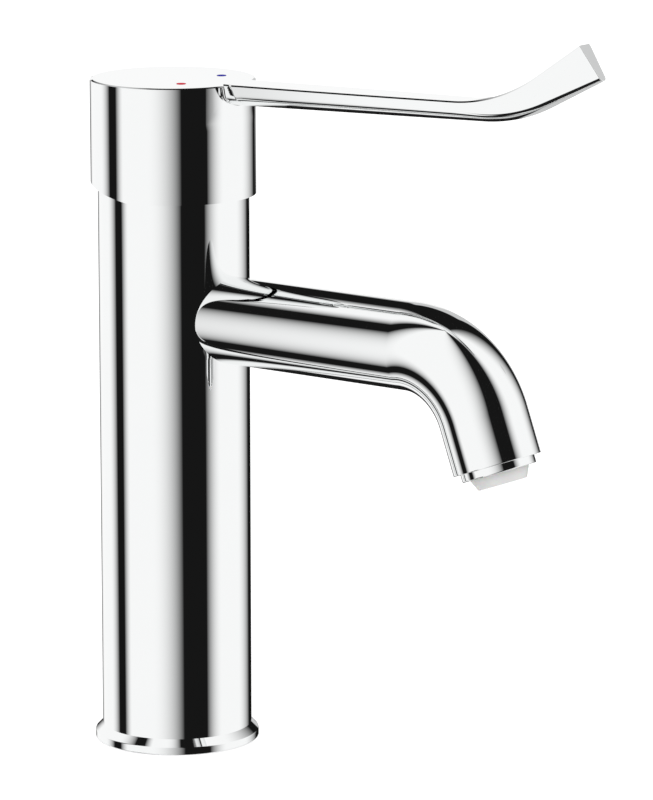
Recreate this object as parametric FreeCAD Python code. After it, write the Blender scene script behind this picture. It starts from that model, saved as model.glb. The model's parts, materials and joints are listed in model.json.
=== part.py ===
# Single-lever basin mixer tap with a long, upturned lever, as an assembly of its real pieces.
# Millimetres. The origin is the centre of the base on the deck, +Z is up,
# and the spout and the lever point towards -Y. The user stands at -Y, with hot at -X and cold at +X.

import FreeCAD, Part
import math
import os

V = FreeCAD.Vector
UP = V(0, 0, 1)
DOWN = V(0, 0, -1)
FRONT = V(0, -1, 0)
SIDE = V(1, 0, 0)

# Clearances
slip = 0.1              # radial play of pieces that slide into each other and then stay
running = 0.05          # radial play of a pin or a neck that turns
side_play = 0.2         # play on each flat of a square stem in its slot
disc_play = 0.2         # play above the stack of discs

# Column
column_radius = 25.0
column_wall = 2.5
column_above_pivot = 5.8    # hidden under the cap
column_edge = 0.6

# Base ring and its seal
ring_band = 2.4         # upright edge of the ring
ring_chamfer = 2.4      # also how far the ring stands out from the column
ring_bore_radius = 19.5
lip_wall = 1.9          # the ring's lip that centres the column
lip_height = 2.0
seal_width = 2.6
seal_thickness = 1.8
seal_margin = 1.5       # from the ring's edge to the seal's groove

# Foot plug with the hose inlets and the stud holes
plug_height = 22.0
inlet_spacing = 17.0    # between the hot and the cold line, centre to centre
inlet_offset = 6.0      # both lines lie this far in front of the axis
hose_thread_radius = 4.5
hose_thread_length = 12.0
stud_thread_radius = 3.4
stud_thread_length = 16.0
stud_spacing = 18.0
stud_offset = 11.0      # behind the axis
strainer_radius = 3.1
strainer_thickness = 1.2
strainer_holes = 6
strainer_hole_radius = 0.5
strainer_hole_circle = 1.8

# Supply pipes and their sealing rings
pipe_radius = 5.0
pipe_wall = 1.0
socket_depth = 6.5
water_way_radius = 2.6
o_ring_radius = 0.65

# Spout
spout_radius = 14.4
spout_bore_radius = 10.8
spout_height = 144.6    # its axis above the deck
spout_run = 98.0        # from the tap's axis to the start of the bend
bend_radius = 30.2
bend_angle = 69.8
spout_end = 15.7        # straight length after the bend
spigot_radius = 9.0
spigot_wall = 2.4
spigot_in_core = 10.2   # from the core's outside to the spigot's inner end
spigot_in_spout = 19.0  # from the column's outside to the spigot's outer end
spigot_ring_radius = 0.9
core_ring_inset = 4.8   # from the spigot's inner end to its sealing ring
spout_ring_inset = 8.0  # from the spigot's outer end to its sealing ring

# Aerator at the spout's end
aerator_thread_radius = 11.4
aerator_thread_length = 8.0
aerator_collar_radius = 12.2
aerator_collar_height = 2.6
aerator_collar_edge = 0.5
insert_radius = 9.7
insert_nose_taper = 1.7
insert_nose_height = 3.8
insert_edge = 0.3
jet_radius = 0.9
jet_pitch = 2.6
jet_rings = 2
gasket_thickness = 1.5
gasket_width = 2.4

# Valve core with the cartridge's chamber
core_below_spout = 12.6     # from the spout's axis down to the core's underside
core_above_spout = 11.4     # from the spout's axis up to the chamber's floor
chamber_play = 0.15
duct_radius = 4.5           # mixed water, from the cartridge to the spout
mixed_port_radius = 3.2
mixed_port_offset = 7.0     # behind the axis

# Cartridge
cartridge_radius = 20.0
cartridge_base_height = 4.0
housing_wall = 1.85
housing_roof = 2.3
collar_height = 4.5
disc_thickness = 4.0
fixed_disc_play = 0.25
moving_disc_play = 0.4
mixing_recess_radius = 9.0
mixing_recess_depth = 2.2
mixing_recess_offset = 1.5   # behind the moving disc's centre
carrier_height = 5.0
carrier_margin = 0.4
pocket_floor_thickness = 0.5
port_seal_gap = 0.5
port_seal_width = 1.5
port_seal_thickness = 1.2

# Rotor, pivot pin and stem
rotor_flange_height = 3.8
neck_radius = 12.0
neck_above_pivot = 5.3
neck_ring_radius = 0.6
pivot_rise = 6.2        # from the housing's shoulder up to the pivot
lift_angle = 20.0
pin_radius = 1.5
pin_margin = 0.2
stem_width = 8.0
stem_square_rise = 3.0  # from the rotor's flange up to the stem's square part
stem_waist_radius = 3.0
stem_tip_radius = 1.6
stem_end_gap = 0.5      # below the end of the sleeve
ball_radius = 2.3
ball_play = 0.3

# Temperature limiter and retaining nut
nut_height = 8.5
nut_bore_radius = 15.7
nut_slots = 6
nut_slot_width = 4.0
nut_slot_depth = 3.0
collar_play = 0.2       # between the housing's collar and the nut
limiter_play = 0.5      # between the limiter and the nut
limiter_height = 3.0
limiter_gap = 0.3
limiter_notches = 24
limiter_notch_width = 0.9
limiter_notch_depth = 0.7

# Lever: its cap
cap_gap = 1.1           # from the column to the inside of the cap
cap_wall = 1.2
rim_below_pivot = 1.0   # the rim's front half
cap_height = 38.15      # from the rim to the top, at the axis
cap_tilt = 1.5          # the top rises towards the lever, degrees
cap_edge = 0.7
plate_thickness = 3.35  # at the axis
rim_slant = 10.0        # the rim's rear half rises, degrees
rim_slant_start = 2.5   # in front of the axis
boss_radius = 9.5
boss_above_pivot = 17.3
sleeve_width = 10.4
sleeve_inset = 0.4
sleeve_end_gap = 3.5    # below the plate

# Lever: its blade
blade_half_width = 6.9
blade_bend_start = 118.0    # from the tap's axis
blade_bend_radius = 56.6
blade_tip_angle = 35.0
blade_tip_run = 15.5        # from the bend's end to the tip, along the deck
blade_tip_half_width = 2.9
keel_drop = 7.25            # from the cap's top to the keel's line, at the tap's axis
keel_slope = 2.0
keel_bend_lag = 10.0        # the keel starts to bend this far after the top
keel_bend_radius = 53.0
keel_tip_angle = 28.5
side_share = 0.62           # the flat side takes this share of the depth
shoulder_share = 0.74       # half-width where the side ends, as a share of the top's
keel_share = 0.36           # half-width of the flat keel, as a share of the top's
keel_swell = 0.72           # how full the rounding between them is, across
keel_swell_depth = 0.62     # and down
blade_bend_steps = 9
blade_root_fillet = 2.5     # where the blade grows out of the cap
blade_root_steps = 8
blade_tip_edge = 0.4

# Lever: its screw and its marks
screw_inset = 6.5           # from the boss's underside up to the screw
screw_radius = 2.4
screw_length = 6.5
screw_socket_radius = 1.25
screw_socket_depth = 3.0
access_radius = 3.0
cover_depth = 1.7
mark_radius = 1.6
mark_circle = 16.4
mark_depth = 0.8
mark_angle = 45.0

# Places that follow from the sizes above
ring_height = ring_band + ring_chamfer
ring_radius = column_radius + ring_chamfer
column_bore = column_radius - column_wall
inner_radius = column_bore - slip
plug_bottom = ring_height + lip_height
plug_top = plug_bottom + plug_height
core_bottom = spout_height - core_below_spout
chamber_floor = spout_height + core_above_spout
chamber_radius = cartridge_radius + chamber_play
spigot_inner = inner_radius - spigot_in_core
spigot_outer = column_radius + spigot_in_spout
spigot_ring_places = (spigot_inner + core_ring_inset, spigot_outer - spout_ring_inset)
pipe_bottom = plug_top - socket_depth
pipe_top = core_bottom + socket_depth
base_top = chamber_floor + cartridge_base_height
fixed_disc_top = base_top + disc_thickness
moving_disc_top = fixed_disc_top + disc_thickness
carrier_top = moving_disc_top + carrier_height
rotor_bottom = carrier_top + disc_play
rotor_flange_top = rotor_bottom + rotor_flange_height
roof_bottom = rotor_flange_top + disc_play
housing_top = roof_bottom + housing_roof
core_top = housing_top
housing_bore = cartridge_radius - housing_wall
pivot_height = housing_top + pivot_rise
neck_top = pivot_height + neck_above_pivot
neck_ring_height = (roof_bottom + housing_top + collar_height) / 2
pocket_floor = moving_disc_top + pocket_floor_thickness
ball_height = pocket_floor + side_play + ball_radius
disc_travel = (pivot_height - ball_height) * math.sin(math.radians(lift_angle))
fixed_disc_radius = housing_bore - fixed_disc_play
moving_disc_radius = housing_bore - disc_travel / 2 - moving_disc_play
collar_radius = nut_bore_radius - collar_play
limiter_radius = nut_bore_radius - limiter_play
limiter_bottom = housing_top + collar_height + limiter_gap
stem_half = stem_width / 2
column_top = pivot_height + column_above_pivot
cap_radius = column_radius + cap_gap + cap_wall
cap_rim = pivot_height - rim_below_pivot
cap_top = cap_rim + cap_height
plate_underside = cap_top - plate_thickness
boss_bottom = pivot_height + boss_above_pivot
sleeve_bottom = boss_bottom + sleeve_inset
sleeve_top = plate_underside - sleeve_end_gap
stem_top = sleeve_top - stem_end_gap
screw_height = boss_bottom + screw_inset
keel_height = cap_top - keel_drop
keel_bend_start = blade_bend_start + keel_bend_lag
inlet_places = [V(side * inlet_spacing / 2, -inlet_offset, 0) for side in (-1, 1)]
stud_places = [V(side * stud_spacing / 2, stud_offset, 0) for side in (-1, 1)]
mixed_place = V(0, mixed_port_offset, 0)
moving_centre = V(0, disc_travel / 2, 0)


def at(place, height):
    """A point above a place of the plan."""
    return V(place.x, place.y, height)


def rod(radius, start, length, axis=UP):
    """A solid round bar."""
    return Part.makeCylinder(radius, length, start, axis)


def tube(outer, inner, start, length, axis=UP):
    """A round bar with a bore."""
    return rod(outer, start, length, axis).cut(rod(inner, start, length, axis))


def torus(major, minor, centre, axis=UP):
    """A round sealing ring."""
    return Part.makeTorus(major, minor, centre, axis)


def square_bar(width, bottom, top):
    """An upright square bar on the tap's axis."""
    return Part.makeBox(width, width, top - bottom, V(-width / 2, -width / 2, bottom))


def circular_edges(shape, radius, height):
    """The round edges of one radius that lie at one height."""
    found = []
    for edge in shape.Edges:
        curve = edge.Curve
        if isinstance(curve, Part.Circle) and abs(curve.Radius - radius) < 1e-4:
            if abs(curve.Center.z - height) < 1e-4:
                found.append(edge)
    return found


def turned(points):
    """A solid of revolution about the tap's axis, from (radius, height) points."""
    outline = [V(radius, 0, height) for radius, height in points]
    face = Part.Face(Part.makePolygon(outline + outline[:1]))
    return face.revolve(V(0, 0, 0), UP, 360)


def fuse_all(shapes):
    """One solid from pieces that overlap."""
    whole = shapes[0]
    for shape in shapes[1:]:
        whole = whole.fuse(shape)
    return whole.removeSplitter()


def cut_all(shape, tools):
    """A shape with every tool taken out of it."""
    for tool in tools:
        shape = shape.cut(tool)
    return shape


# Base

def make_base_ring():
    body = turned([
        (ring_bore_radius, 0),
        (ring_radius, 0),
        (ring_radius, ring_band),
        (ring_radius - ring_chamfer, ring_height),
        (inner_radius, ring_height),
        (inner_radius, plug_bottom),
        (inner_radius - lip_wall, plug_bottom),
        (inner_radius - lip_wall, ring_height),
        (ring_bore_radius, ring_height),
    ])
    return body.cut(seal_space(slip))


def seal_space(play):
    outer = ring_radius - seal_margin + play
    inner = ring_radius - seal_margin - seal_width - play
    return tube(outer, inner, V(0, 0, 0), seal_thickness + play)


def make_base_seal():
    return seal_space(0)


def make_foot_plug():
    plug = rod(inner_radius, V(0, 0, plug_bottom), plug_height)
    tools = []
    for place in inlet_places:
        tools.append(rod(hose_thread_radius, at(place, plug_bottom), hose_thread_length))
        tools.append(rod(strainer_radius + slip, at(place, plug_bottom), plug_height))
        tools.append(rod(pipe_radius + running, at(place, pipe_bottom), socket_depth))
        tools.append(ring_groove(place, plug_top - socket_depth / 2))
    for place in stud_places:
        tools.append(rod(stud_thread_radius, at(place, plug_bottom), stud_thread_length))
    return cut_all(plug, tools)


def ring_groove(place, height):
    """The groove for a sealing ring round a supply pipe."""
    outer = pipe_radius + 2 * o_ring_radius
    return rod(outer, at(place, height - o_ring_radius), 2 * o_ring_radius)


def make_inlet_strainers():
    strainers = []
    for place in inlet_places:
        bottom = at(place, plug_bottom + hose_thread_length)
        disc = rod(strainer_radius, bottom, strainer_thickness)
        holes = []
        for index in range(strainer_holes):
            angle = 2 * math.pi * index / strainer_holes
            offset = V(math.cos(angle), math.sin(angle), 0) * strainer_hole_circle
            holes.append(rod(strainer_hole_radius, bottom + offset, strainer_thickness))
        strainers.append(cut_all(disc, holes))
    return Part.makeCompound(strainers)


def make_supply_pipe(place):
    start = at(place, pipe_bottom)
    return tube(pipe_radius, pipe_radius - pipe_wall, start, pipe_top - pipe_bottom)


def make_pipe_seals():
    rings = []
    for place in inlet_places:
        for height in (plug_top - socket_depth / 2, core_bottom + socket_depth / 2):
            rings.append(torus(pipe_radius + o_ring_radius, o_ring_radius, at(place, height)))
    return Part.makeCompound(rings)


# Column and valve core

def make_column_body():
    column = rod(column_radius, V(0, 0, ring_height), column_top - ring_height)
    column = column.makeChamfer(column_edge, circular_edges(column, column_radius, column_top))
    bore = rod(column_bore, V(0, 0, ring_height), column_top - ring_height)
    spigot_hole = rod(spigot_radius + slip, V(0, 0, spout_height), column_radius + 1, FRONT)
    return cut_all(column, [bore, spigot_hole])


def make_valve_core():
    core = rod(inner_radius, V(0, 0, core_bottom), core_top - core_bottom)
    tools = [
        rod(chamber_radius, V(0, 0, chamber_floor), core_top - chamber_floor),
        rod(mixed_port_radius, at(mixed_place, spout_height), chamber_floor - spout_height),
        rod(duct_radius, V(0, mixed_port_offset, spout_height), mixed_port_offset + spigot_inner, FRONT),
        rod(spigot_radius + running, V(0, -spigot_inner, spout_height), column_radius, FRONT),
        spigot_groove(spigot_ring_places[0]),
    ]
    for place in inlet_places:
        tools.append(rod(water_way_radius, at(place, core_bottom), chamber_floor - core_bottom))
        tools.append(rod(pipe_radius + running, at(place, core_bottom), socket_depth))
        tools.append(ring_groove(place, core_bottom + socket_depth / 2))
    return cut_all(core, tools)


# Spout

def along_spout(distance):
    """A point on the axis of the spout's straight run."""
    return V(0, -distance, spout_height)


def spout_frame():
    """The centre of the spout's open end, and the direction in which the water leaves."""
    angle = math.radians(bend_angle)
    flow = V(0, -math.cos(angle), -math.sin(angle))
    bend_end = along_spout(spout_run)
    bend_end += V(0, -bend_radius * math.sin(angle), -bend_radius * (1 - math.cos(angle)))
    return bend_end + flow * spout_end, flow


def bent_bar(radius, start):
    """A round bar along the spout's axis, from a distance along its run to its open end."""
    end, flow = spout_frame()
    straight = rod(radius, along_spout(start), spout_run - start, FRONT)
    circle = Part.Wire(Part.makeCircle(radius, along_spout(spout_run), FRONT))
    pivot = along_spout(spout_run) + DOWN * bend_radius
    bend = Part.Face(circle).revolve(pivot, SIDE, bend_angle)
    tail = rod(radius, end - flow * spout_end, spout_end, flow)
    return fuse_all([straight, bend, tail])


def spigot_groove(distance):
    """The groove for a sealing ring round the spigot."""
    outer = spigot_radius + 2 * spigot_ring_radius
    start = along_spout(distance - spigot_ring_radius)
    return rod(outer, start, 2 * spigot_ring_radius, FRONT)


def make_spout_tube():
    end, flow = spout_frame()
    seat = aerator_thread_length + gasket_thickness
    shell = bent_bar(spout_radius, 0)
    tools = [
        rod(column_radius, V(0, 0, ring_height), column_top - ring_height),
        rod(spigot_radius + running, V(0, 0, spout_height), spigot_outer + slip, FRONT),
        bent_bar(spout_bore_radius, spigot_outer),
        rod(aerator_thread_radius + slip, end - flow * seat, seat, flow),
        spigot_groove(spigot_ring_places[1]),
    ]
    return cut_all(shell, tools)


def make_spout_spigot():
    length = spigot_outer - spigot_inner
    return tube(spigot_radius, spigot_radius - spigot_wall, along_spout(spigot_inner), length, FRONT)


def make_spout_seals():
    major = spigot_radius + spigot_ring_radius
    rings = [torus(major, spigot_ring_radius, along_spout(place), FRONT) for place in spigot_ring_places]
    return Part.makeCompound(rings)


# Aerator, made on the tap's axis with the water flowing up, then set in the spout's end

def set_in_outlet(shape):
    end, flow = spout_frame()
    placed = shape.copy()
    placed.Placement = FreeCAD.Placement(end, FreeCAD.Rotation(UP, flow))
    return placed


def make_aerator_ring():
    ring = turned([
        (insert_radius + running, -aerator_thread_length),
        (aerator_thread_radius, -aerator_thread_length),
        (aerator_thread_radius, 0),
        (aerator_collar_radius, 0),
        (aerator_collar_radius, aerator_collar_height),
        (insert_radius + running, aerator_collar_height),
    ])
    outer_edge = circular_edges(ring, aerator_collar_radius, aerator_collar_height)
    return set_in_outlet(ring.makeFillet(aerator_collar_edge, outer_edge))


def make_flow_straightener():
    top = aerator_collar_height + insert_nose_height
    insert = turned([
        (0, -aerator_thread_length),
        (insert_radius, -aerator_thread_length),
        (insert_radius, aerator_collar_height),
        (insert_radius - insert_nose_taper, top),
        (0, top),
    ])
    insert = insert.makeFillet(insert_edge, circular_edges(insert, insert_radius - insert_nose_taper, top))
    length = top + aerator_thread_length
    jets = [rod(jet_radius, V(0, 0, -aerator_thread_length), length)]
    for ring in range(1, jet_rings + 1):
        for index in range(6 * ring):
            angle = 2 * math.pi * index / (6 * ring)
            place = V(math.cos(angle), math.sin(angle), 0) * (jet_pitch * ring)
            jets.append(rod(jet_radius, place + V(0, 0, -aerator_thread_length), length))
    return set_in_outlet(cut_all(insert, jets))


def make_aerator_gasket():
    bottom = V(0, 0, -aerator_thread_length - gasket_thickness)
    bore = aerator_thread_radius - gasket_width
    return set_in_outlet(tube(aerator_thread_radius, bore, bottom, gasket_thickness))


# Cartridge

def ports(bottom, height):
    """The three water ways through a disc: hot, cold and mixed."""
    tools = [rod(water_way_radius, at(place, bottom), height) for place in inlet_places]
    return tools + [rod(mixed_port_radius, at(mixed_place, bottom), height)]


def port_rings(play):
    """The seals round the three ports, under the cartridge."""
    openings = [(place, water_way_radius) for place in inlet_places]
    openings.append((mixed_place, mixed_port_radius))
    rings = []
    for place, radius in openings:
        inner = radius + port_seal_gap
        outer = inner + port_seal_width
        start = at(place, chamber_floor)
        rings.append(tube(outer + play, inner - play, start, port_seal_thickness + play))
    return rings


def make_cartridge_base():
    base = rod(cartridge_radius, V(0, 0, chamber_floor), cartridge_base_height)
    return cut_all(base, ports(chamber_floor, cartridge_base_height) + port_rings(running))


def make_port_seals():
    return Part.makeCompound(port_rings(0))


def make_fixed_disc():
    disc = rod(fixed_disc_radius, V(0, 0, base_top), disc_thickness)
    return cut_all(disc, ports(base_top, disc_thickness))


def make_moving_disc():
    disc = rod(moving_disc_radius, at(moving_centre, fixed_disc_top), disc_thickness)
    recess_centre = moving_centre + V(0, mixing_recess_offset, 0)
    return disc.cut(rod(mixing_recess_radius, at(recess_centre, fixed_disc_top), mixing_recess_depth))


def make_disc_carrier():
    radius = moving_disc_radius - carrier_margin
    carrier = rod(radius, at(moving_centre, moving_disc_top), carrier_height)
    pocket = rod(ball_radius + ball_play, V(0, 0, pocket_floor), carrier_top - pocket_floor)
    return carrier.cut(pocket)


def make_cartridge_housing():
    return turned([
        (housing_bore, base_top),
        (cartridge_radius, base_top),
        (cartridge_radius, housing_top),
        (collar_radius, housing_top),
        (collar_radius, housing_top + collar_height),
        (neck_radius + slip, housing_top + collar_height),
        (neck_radius + slip, roof_bottom),
        (housing_bore, roof_bottom),
    ])


def make_rotor():
    rotor = turned([
        (0, rotor_bottom),
        (housing_bore - slip, rotor_bottom),
        (housing_bore - slip, rotor_flange_top),
        (neck_radius, rotor_flange_top),
        (neck_radius, neck_top),
        (0, neck_top),
    ])
    lean = math.tan(math.radians(lift_angle))
    front = stem_half + (pivot_height - rotor_bottom) * lean + side_play
    back = stem_half / math.cos(math.radians(lift_angle)) + neck_above_pivot * lean + side_play
    slot_half = stem_half + side_play
    slot_corner = V(-slot_half, -front, rotor_bottom)
    slot = Part.makeBox(2 * slot_half, front + back, neck_top - rotor_bottom, slot_corner)
    groove_floor = neck_radius + running - 2 * neck_ring_radius - running
    groove_start = V(0, 0, neck_ring_height - neck_ring_radius - running)
    groove = tube(neck_radius + slip, groove_floor, groove_start, 2 * (neck_ring_radius + running))
    return cut_all(rotor, [slot, groove, pivot_bar(pin_radius)])


def pivot_bar(radius):
    """The pivot's bar, right across the rotor's neck."""
    half = neck_radius - pin_margin
    return rod(radius, V(-half, 0, pivot_height), 2 * half, SIDE)


def make_neck_seal():
    return torus(neck_radius + running - neck_ring_radius, neck_ring_radius, V(0, 0, neck_ring_height))


def make_temperature_limiter():
    limiter = tube(limiter_radius, neck_radius + running, V(0, 0, limiter_bottom), limiter_height)
    notches = []
    for index in range(limiter_notches):
        notch = Part.makeBox(
            2 * limiter_notch_depth, limiter_notch_width, limiter_height,
            V(limiter_radius - limiter_notch_depth, -limiter_notch_width / 2, limiter_bottom))
        notch.rotate(V(0, 0, 0), UP, 360 * index / limiter_notches)
        notches.append(notch)
    return cut_all(limiter, notches)


def make_retaining_nut():
    nut = tube(inner_radius, nut_bore_radius, V(0, 0, core_top), nut_height)
    slots = []
    for index in range(nut_slots):
        slot = Part.makeBox(
            inner_radius, nut_slot_width, nut_slot_depth,
            V(nut_bore_radius - slip, -nut_slot_width / 2, core_top + nut_height - nut_slot_depth))
        slot.rotate(V(0, 0, 0), UP, 360 * index / nut_slots)
        slots.append(slot)
    return cut_all(nut, slots)


def make_spindle():
    waist_top = rotor_flange_top + stem_square_rise
    foot = turned([
        (0, ball_height),
        (stem_tip_radius, ball_height),
        (stem_tip_radius, carrier_top),
        (stem_waist_radius, waist_top),
        (0, waist_top),
    ])
    ball = Part.makeSphere(ball_radius, V(0, 0, ball_height))
    stem = fuse_all([square_bar(stem_width, waist_top, stem_top), foot, ball])
    return stem.cut(pivot_bar(pin_radius + running))


# Lever

def tilted(shape):
    """A shape turned with the cap's top, about the point where that meets the axis."""
    turned_shape = shape.copy()
    turned_shape.rotate(V(0, 0, cap_top), SIDE, -cap_tilt)
    return turned_shape


def cap_shell():
    """The closed outside of the cap, with its tilted top and its edge eased."""
    reach = 2 * cap_radius
    block = rod(cap_radius, V(0, 0, cap_rim), cap_top - cap_rim + cap_radius)
    above = tilted(Part.makeBox(2 * reach, 2 * reach, reach, V(-reach, -reach, cap_top)))
    block = block.cut(above)
    top_edges = [edge for edge in block.Edges if edge.BoundBox.ZMin > plate_underside]
    return block.makeFillet(cap_edge, top_edges)


def rim_cutter():
    """The wedge under the rim's rear half, which leaves room when the lever is lifted."""
    reach = 2 * cap_radius
    rise = (reach + rim_slant_start) * math.tan(math.radians(rim_slant))
    points = [
        V(-reach, -rim_slant_start, cap_rim),
        V(-reach, reach, cap_rim + rise),
        V(-reach, reach, cap_rim - cap_wall),
        V(-reach, -rim_slant_start, cap_rim - cap_wall),
    ]
    return Part.Face(Part.makePolygon(points + points[:1])).extrude(V(2 * reach, 0, 0))


def blade_top(angle):
    """A point of the blade's top line in the bend, where it has turned to an angle."""
    first = math.radians(cap_tilt)
    reach = blade_bend_start + blade_bend_radius * (math.sin(angle) - math.sin(first))
    height = cap_top + blade_bend_start * math.tan(first)
    return reach, height + blade_bend_radius * (math.cos(first) - math.cos(angle))


def keel(reach):
    """The height of the blade's keel at a distance from the tap's axis."""
    first = math.radians(keel_slope)
    last = math.radians(keel_tip_angle)
    bend_height = keel_height + keel_bend_start * math.tan(first)
    if reach <= keel_bend_start:
        return keel_height + reach * math.tan(first)
    bend_end = keel_bend_start + keel_bend_radius * (math.sin(last) - math.sin(first))
    angle = math.asin(math.sin(first) + (min(reach, bend_end) - keel_bend_start) / keel_bend_radius)
    height = bend_height + keel_bend_radius * (math.cos(first) - math.cos(angle))
    return height + max(0, reach - bend_end) * math.tan(last)


def blade_depth(reach, height, angle):
    """The depth from the blade's top line to its keel, square to the top line."""
    low = 0.0
    high = 4 * blade_half_width
    for _ in range(40):
        middle = (low + high) / 2
        below = height - middle * math.cos(angle) < keel(reach + middle * math.sin(angle))
        low, high = (low, middle) if below else (middle, high)
    return low


def root_flare(reach, surface):
    """How far the blade's fillet stands out, beside or below it, near the cap's surface."""
    left = max(0.0, blade_root_fillet - max(0.0, reach - surface))
    return blade_root_fillet - math.sqrt(blade_root_fillet ** 2 - left ** 2)


def blade_section(reach, height, angle, half_width):
    """The closed outline across the blade: flat top, leaning sides and a rounded keel."""
    corner = math.sqrt(cap_radius ** 2 - (blade_half_width + blade_root_fillet) ** 2)
    depth = blade_depth(reach, height, angle) + root_flare(reach, cap_radius)
    half_width += root_flare(reach, corner)
    down = V(0, -math.sin(angle), -math.cos(angle))
    origin = V(0, -reach, height)

    def point(across, share):
        return origin + SIDE * across + down * (depth * share)

    shoulder = half_width * shoulder_share
    flat = half_width * keel_share
    swell = flat + (shoulder - flat) * keel_swell
    swell_share = side_share + (1 - side_share) * keel_swell_depth
    edges = [
        Part.makeLine(point(-half_width, 0), point(half_width, 0)),
        Part.makeLine(point(half_width, 0), point(shoulder, side_share)),
        Part.Arc(point(shoulder, side_share), point(swell, swell_share), point(flat, 1)).toShape(),
        Part.makeLine(point(flat, 1), point(-flat, 1)),
        Part.Arc(point(-flat, 1), point(-swell, swell_share), point(-shoulder, side_share)).toShape(),
        Part.makeLine(point(-shoulder, side_share), point(-half_width, 0)),
    ]
    return Part.Wire(edges)


def make_blade():
    first = math.radians(cap_tilt)
    last = math.radians(blade_tip_angle)
    start = cap_radius - 2 * cap_wall
    end = cap_radius + blade_root_fillet
    stations = []
    for step in range(blade_root_steps + 1):
        reach = start + (end - start) * step / blade_root_steps
        stations.append((reach, cap_top + reach * math.tan(first), first))
    for step in range(blade_bend_steps + 1):
        angle = first + (last - first) * step / blade_bend_steps
        stations.append(blade_top(angle) + (angle,))
    reach, height = blade_top(last)
    tip_reach = reach + blade_tip_run
    stations.append((tip_reach, height + blade_tip_run * math.tan(last), last))
    sections = []
    for reach, height, angle in stations:
        share = max(0.0, reach - blade_bend_start) / (tip_reach - blade_bend_start)
        half_width = blade_half_width + (blade_tip_half_width - blade_half_width) * share
        sections.append(blade_section(reach, height, angle, half_width))
    blade = Part.makeLoft(sections, True, True)
    tip_edges = [edge for edge in blade.Edges if edge.BoundBox.YMax < 1 - tip_reach]
    return blade.makeFillet(blade_tip_edge, tip_edges)


def screw_bar(radius, start, length):
    """A bar along the set screw's axis, behind the spindle."""
    return rod(radius, V(0, start, screw_height), length, V(0, 1, 0))


def make_control_lever():
    cavity = rod(cap_radius - cap_wall, V(0, 0, cap_rim - cap_wall), plate_underside - cap_rim + cap_wall)
    boss = rod(boss_radius, V(0, 0, boss_bottom), plate_underside + cap_wall - boss_bottom)
    lever = fuse_all([cap_shell(), make_blade()]).cut(cavity)
    lever = fuse_all([lever, boss])
    tools = [
        rim_cutter(),
        square_bar(sleeve_width + 2 * running, boss_bottom, sleeve_top),
        screw_bar(screw_radius + running, 0, boss_radius + 1),
        screw_bar(access_radius, boss_radius + 1, cap_radius),
        mark_disc(-1),
        mark_disc(1),
    ]
    return cut_all(lever, tools)


def mark_disc(side):
    """An index disc let into the cap's top, on the hot (-1) or the cold (1) side."""
    angle = math.radians(mark_angle)
    place = V(side * mark_circle * math.sin(angle), -mark_circle * math.cos(angle), cap_top - mark_depth)
    return tilted(rod(mark_radius, place, mark_depth))


def make_spindle_sleeve():
    sleeve = square_bar(sleeve_width, sleeve_bottom, sleeve_top)
    bore = square_bar(stem_width + 2 * running, sleeve_bottom, sleeve_top)
    return cut_all(sleeve, [bore, screw_bar(screw_radius + running, 0, boss_radius)])


def make_set_screw():
    start = stem_half
    screw = screw_bar(screw_radius, start, screw_length)
    socket = screw_bar(screw_socket_radius, start + screw_length - screw_socket_depth, screw_socket_depth)
    return screw.cut(socket)


def make_screw_cover():
    cover = screw_bar(access_radius - running, cap_radius - cover_depth, cover_depth + 1)
    return cover.common(rod(cap_radius, V(0, 0, boss_bottom), plate_underside - boss_bottom))


pieces = {
    "base_ring": make_base_ring,
    "base_seal": make_base_seal,
    "foot_plug": make_foot_plug,
    "inlet_strainers": make_inlet_strainers,
    "hot_supply_pipe": lambda: make_supply_pipe(inlet_places[0]),
    "cold_supply_pipe": lambda: make_supply_pipe(inlet_places[1]),
    "pipe_seals": make_pipe_seals,
    "column_body": make_column_body,
    "valve_core": make_valve_core,
    "spout_tube": make_spout_tube,
    "spout_spigot": make_spout_spigot,
    "spout_seals": make_spout_seals,
    "aerator_ring": make_aerator_ring,
    "flow_straightener": make_flow_straightener,
    "aerator_gasket": make_aerator_gasket,
    "cartridge_base": make_cartridge_base,
    "port_seals": make_port_seals,
    "fixed_disc": make_fixed_disc,
    "cartridge_housing": make_cartridge_housing,
    "retaining_nut": make_retaining_nut,
    "moving_disc": make_moving_disc,
    "disc_carrier": make_disc_carrier,
    "rotor": make_rotor,
    "neck_seal": make_neck_seal,
    "pivot_pin": lambda: pivot_bar(pin_radius),
    "temperature_limiter": make_temperature_limiter,
    "spindle": make_spindle,
    "spindle_sleeve": make_spindle_sleeve,
    "control_lever": make_control_lever,
    "set_screw": make_set_screw,
    "screw_cover": make_screw_cover,
    "hot_mark": lambda: mark_disc(-1),
    "cold_mark": lambda: mark_disc(1),
}

os.makedirs("parts", exist_ok=True)
for name, make in pieces.items():
    shape = make()
    shape.exportStep("parts/" + name + ".step")
    box = shape.BoundBox
    print(name, "solids", len(shape.Solids), "valid", shape.isValid(), "volume %.1f" % shape.Volume,
          "z %.2f to %.2f" % (box.ZMin, box.ZMax))
print("disc travel %.4f mm for %.1f degrees of lift" % (disc_travel, lift_angle))
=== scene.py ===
"""Looks of a single-lever basin mixer tap: its polished shells, its marks and the studio round it.

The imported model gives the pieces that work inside. The shells that show are rebuilt here as
smooth meshes. They are drawn in millimetres in the frame's own axes: the spout and the lever
point towards -Y, hot is at -X, and the deck is at height 0.
"""

import json
import logging
import math
from dataclasses import dataclass, field
from enum import Enum
from functools import cache
from itertools import pairwise
from typing import Callable, Iterable, Sequence

import bmesh
import bpy
from bmesh.types import BMEdge, BMesh, BMFace, BMVert
from mathutils import Matrix, Vector


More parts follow.
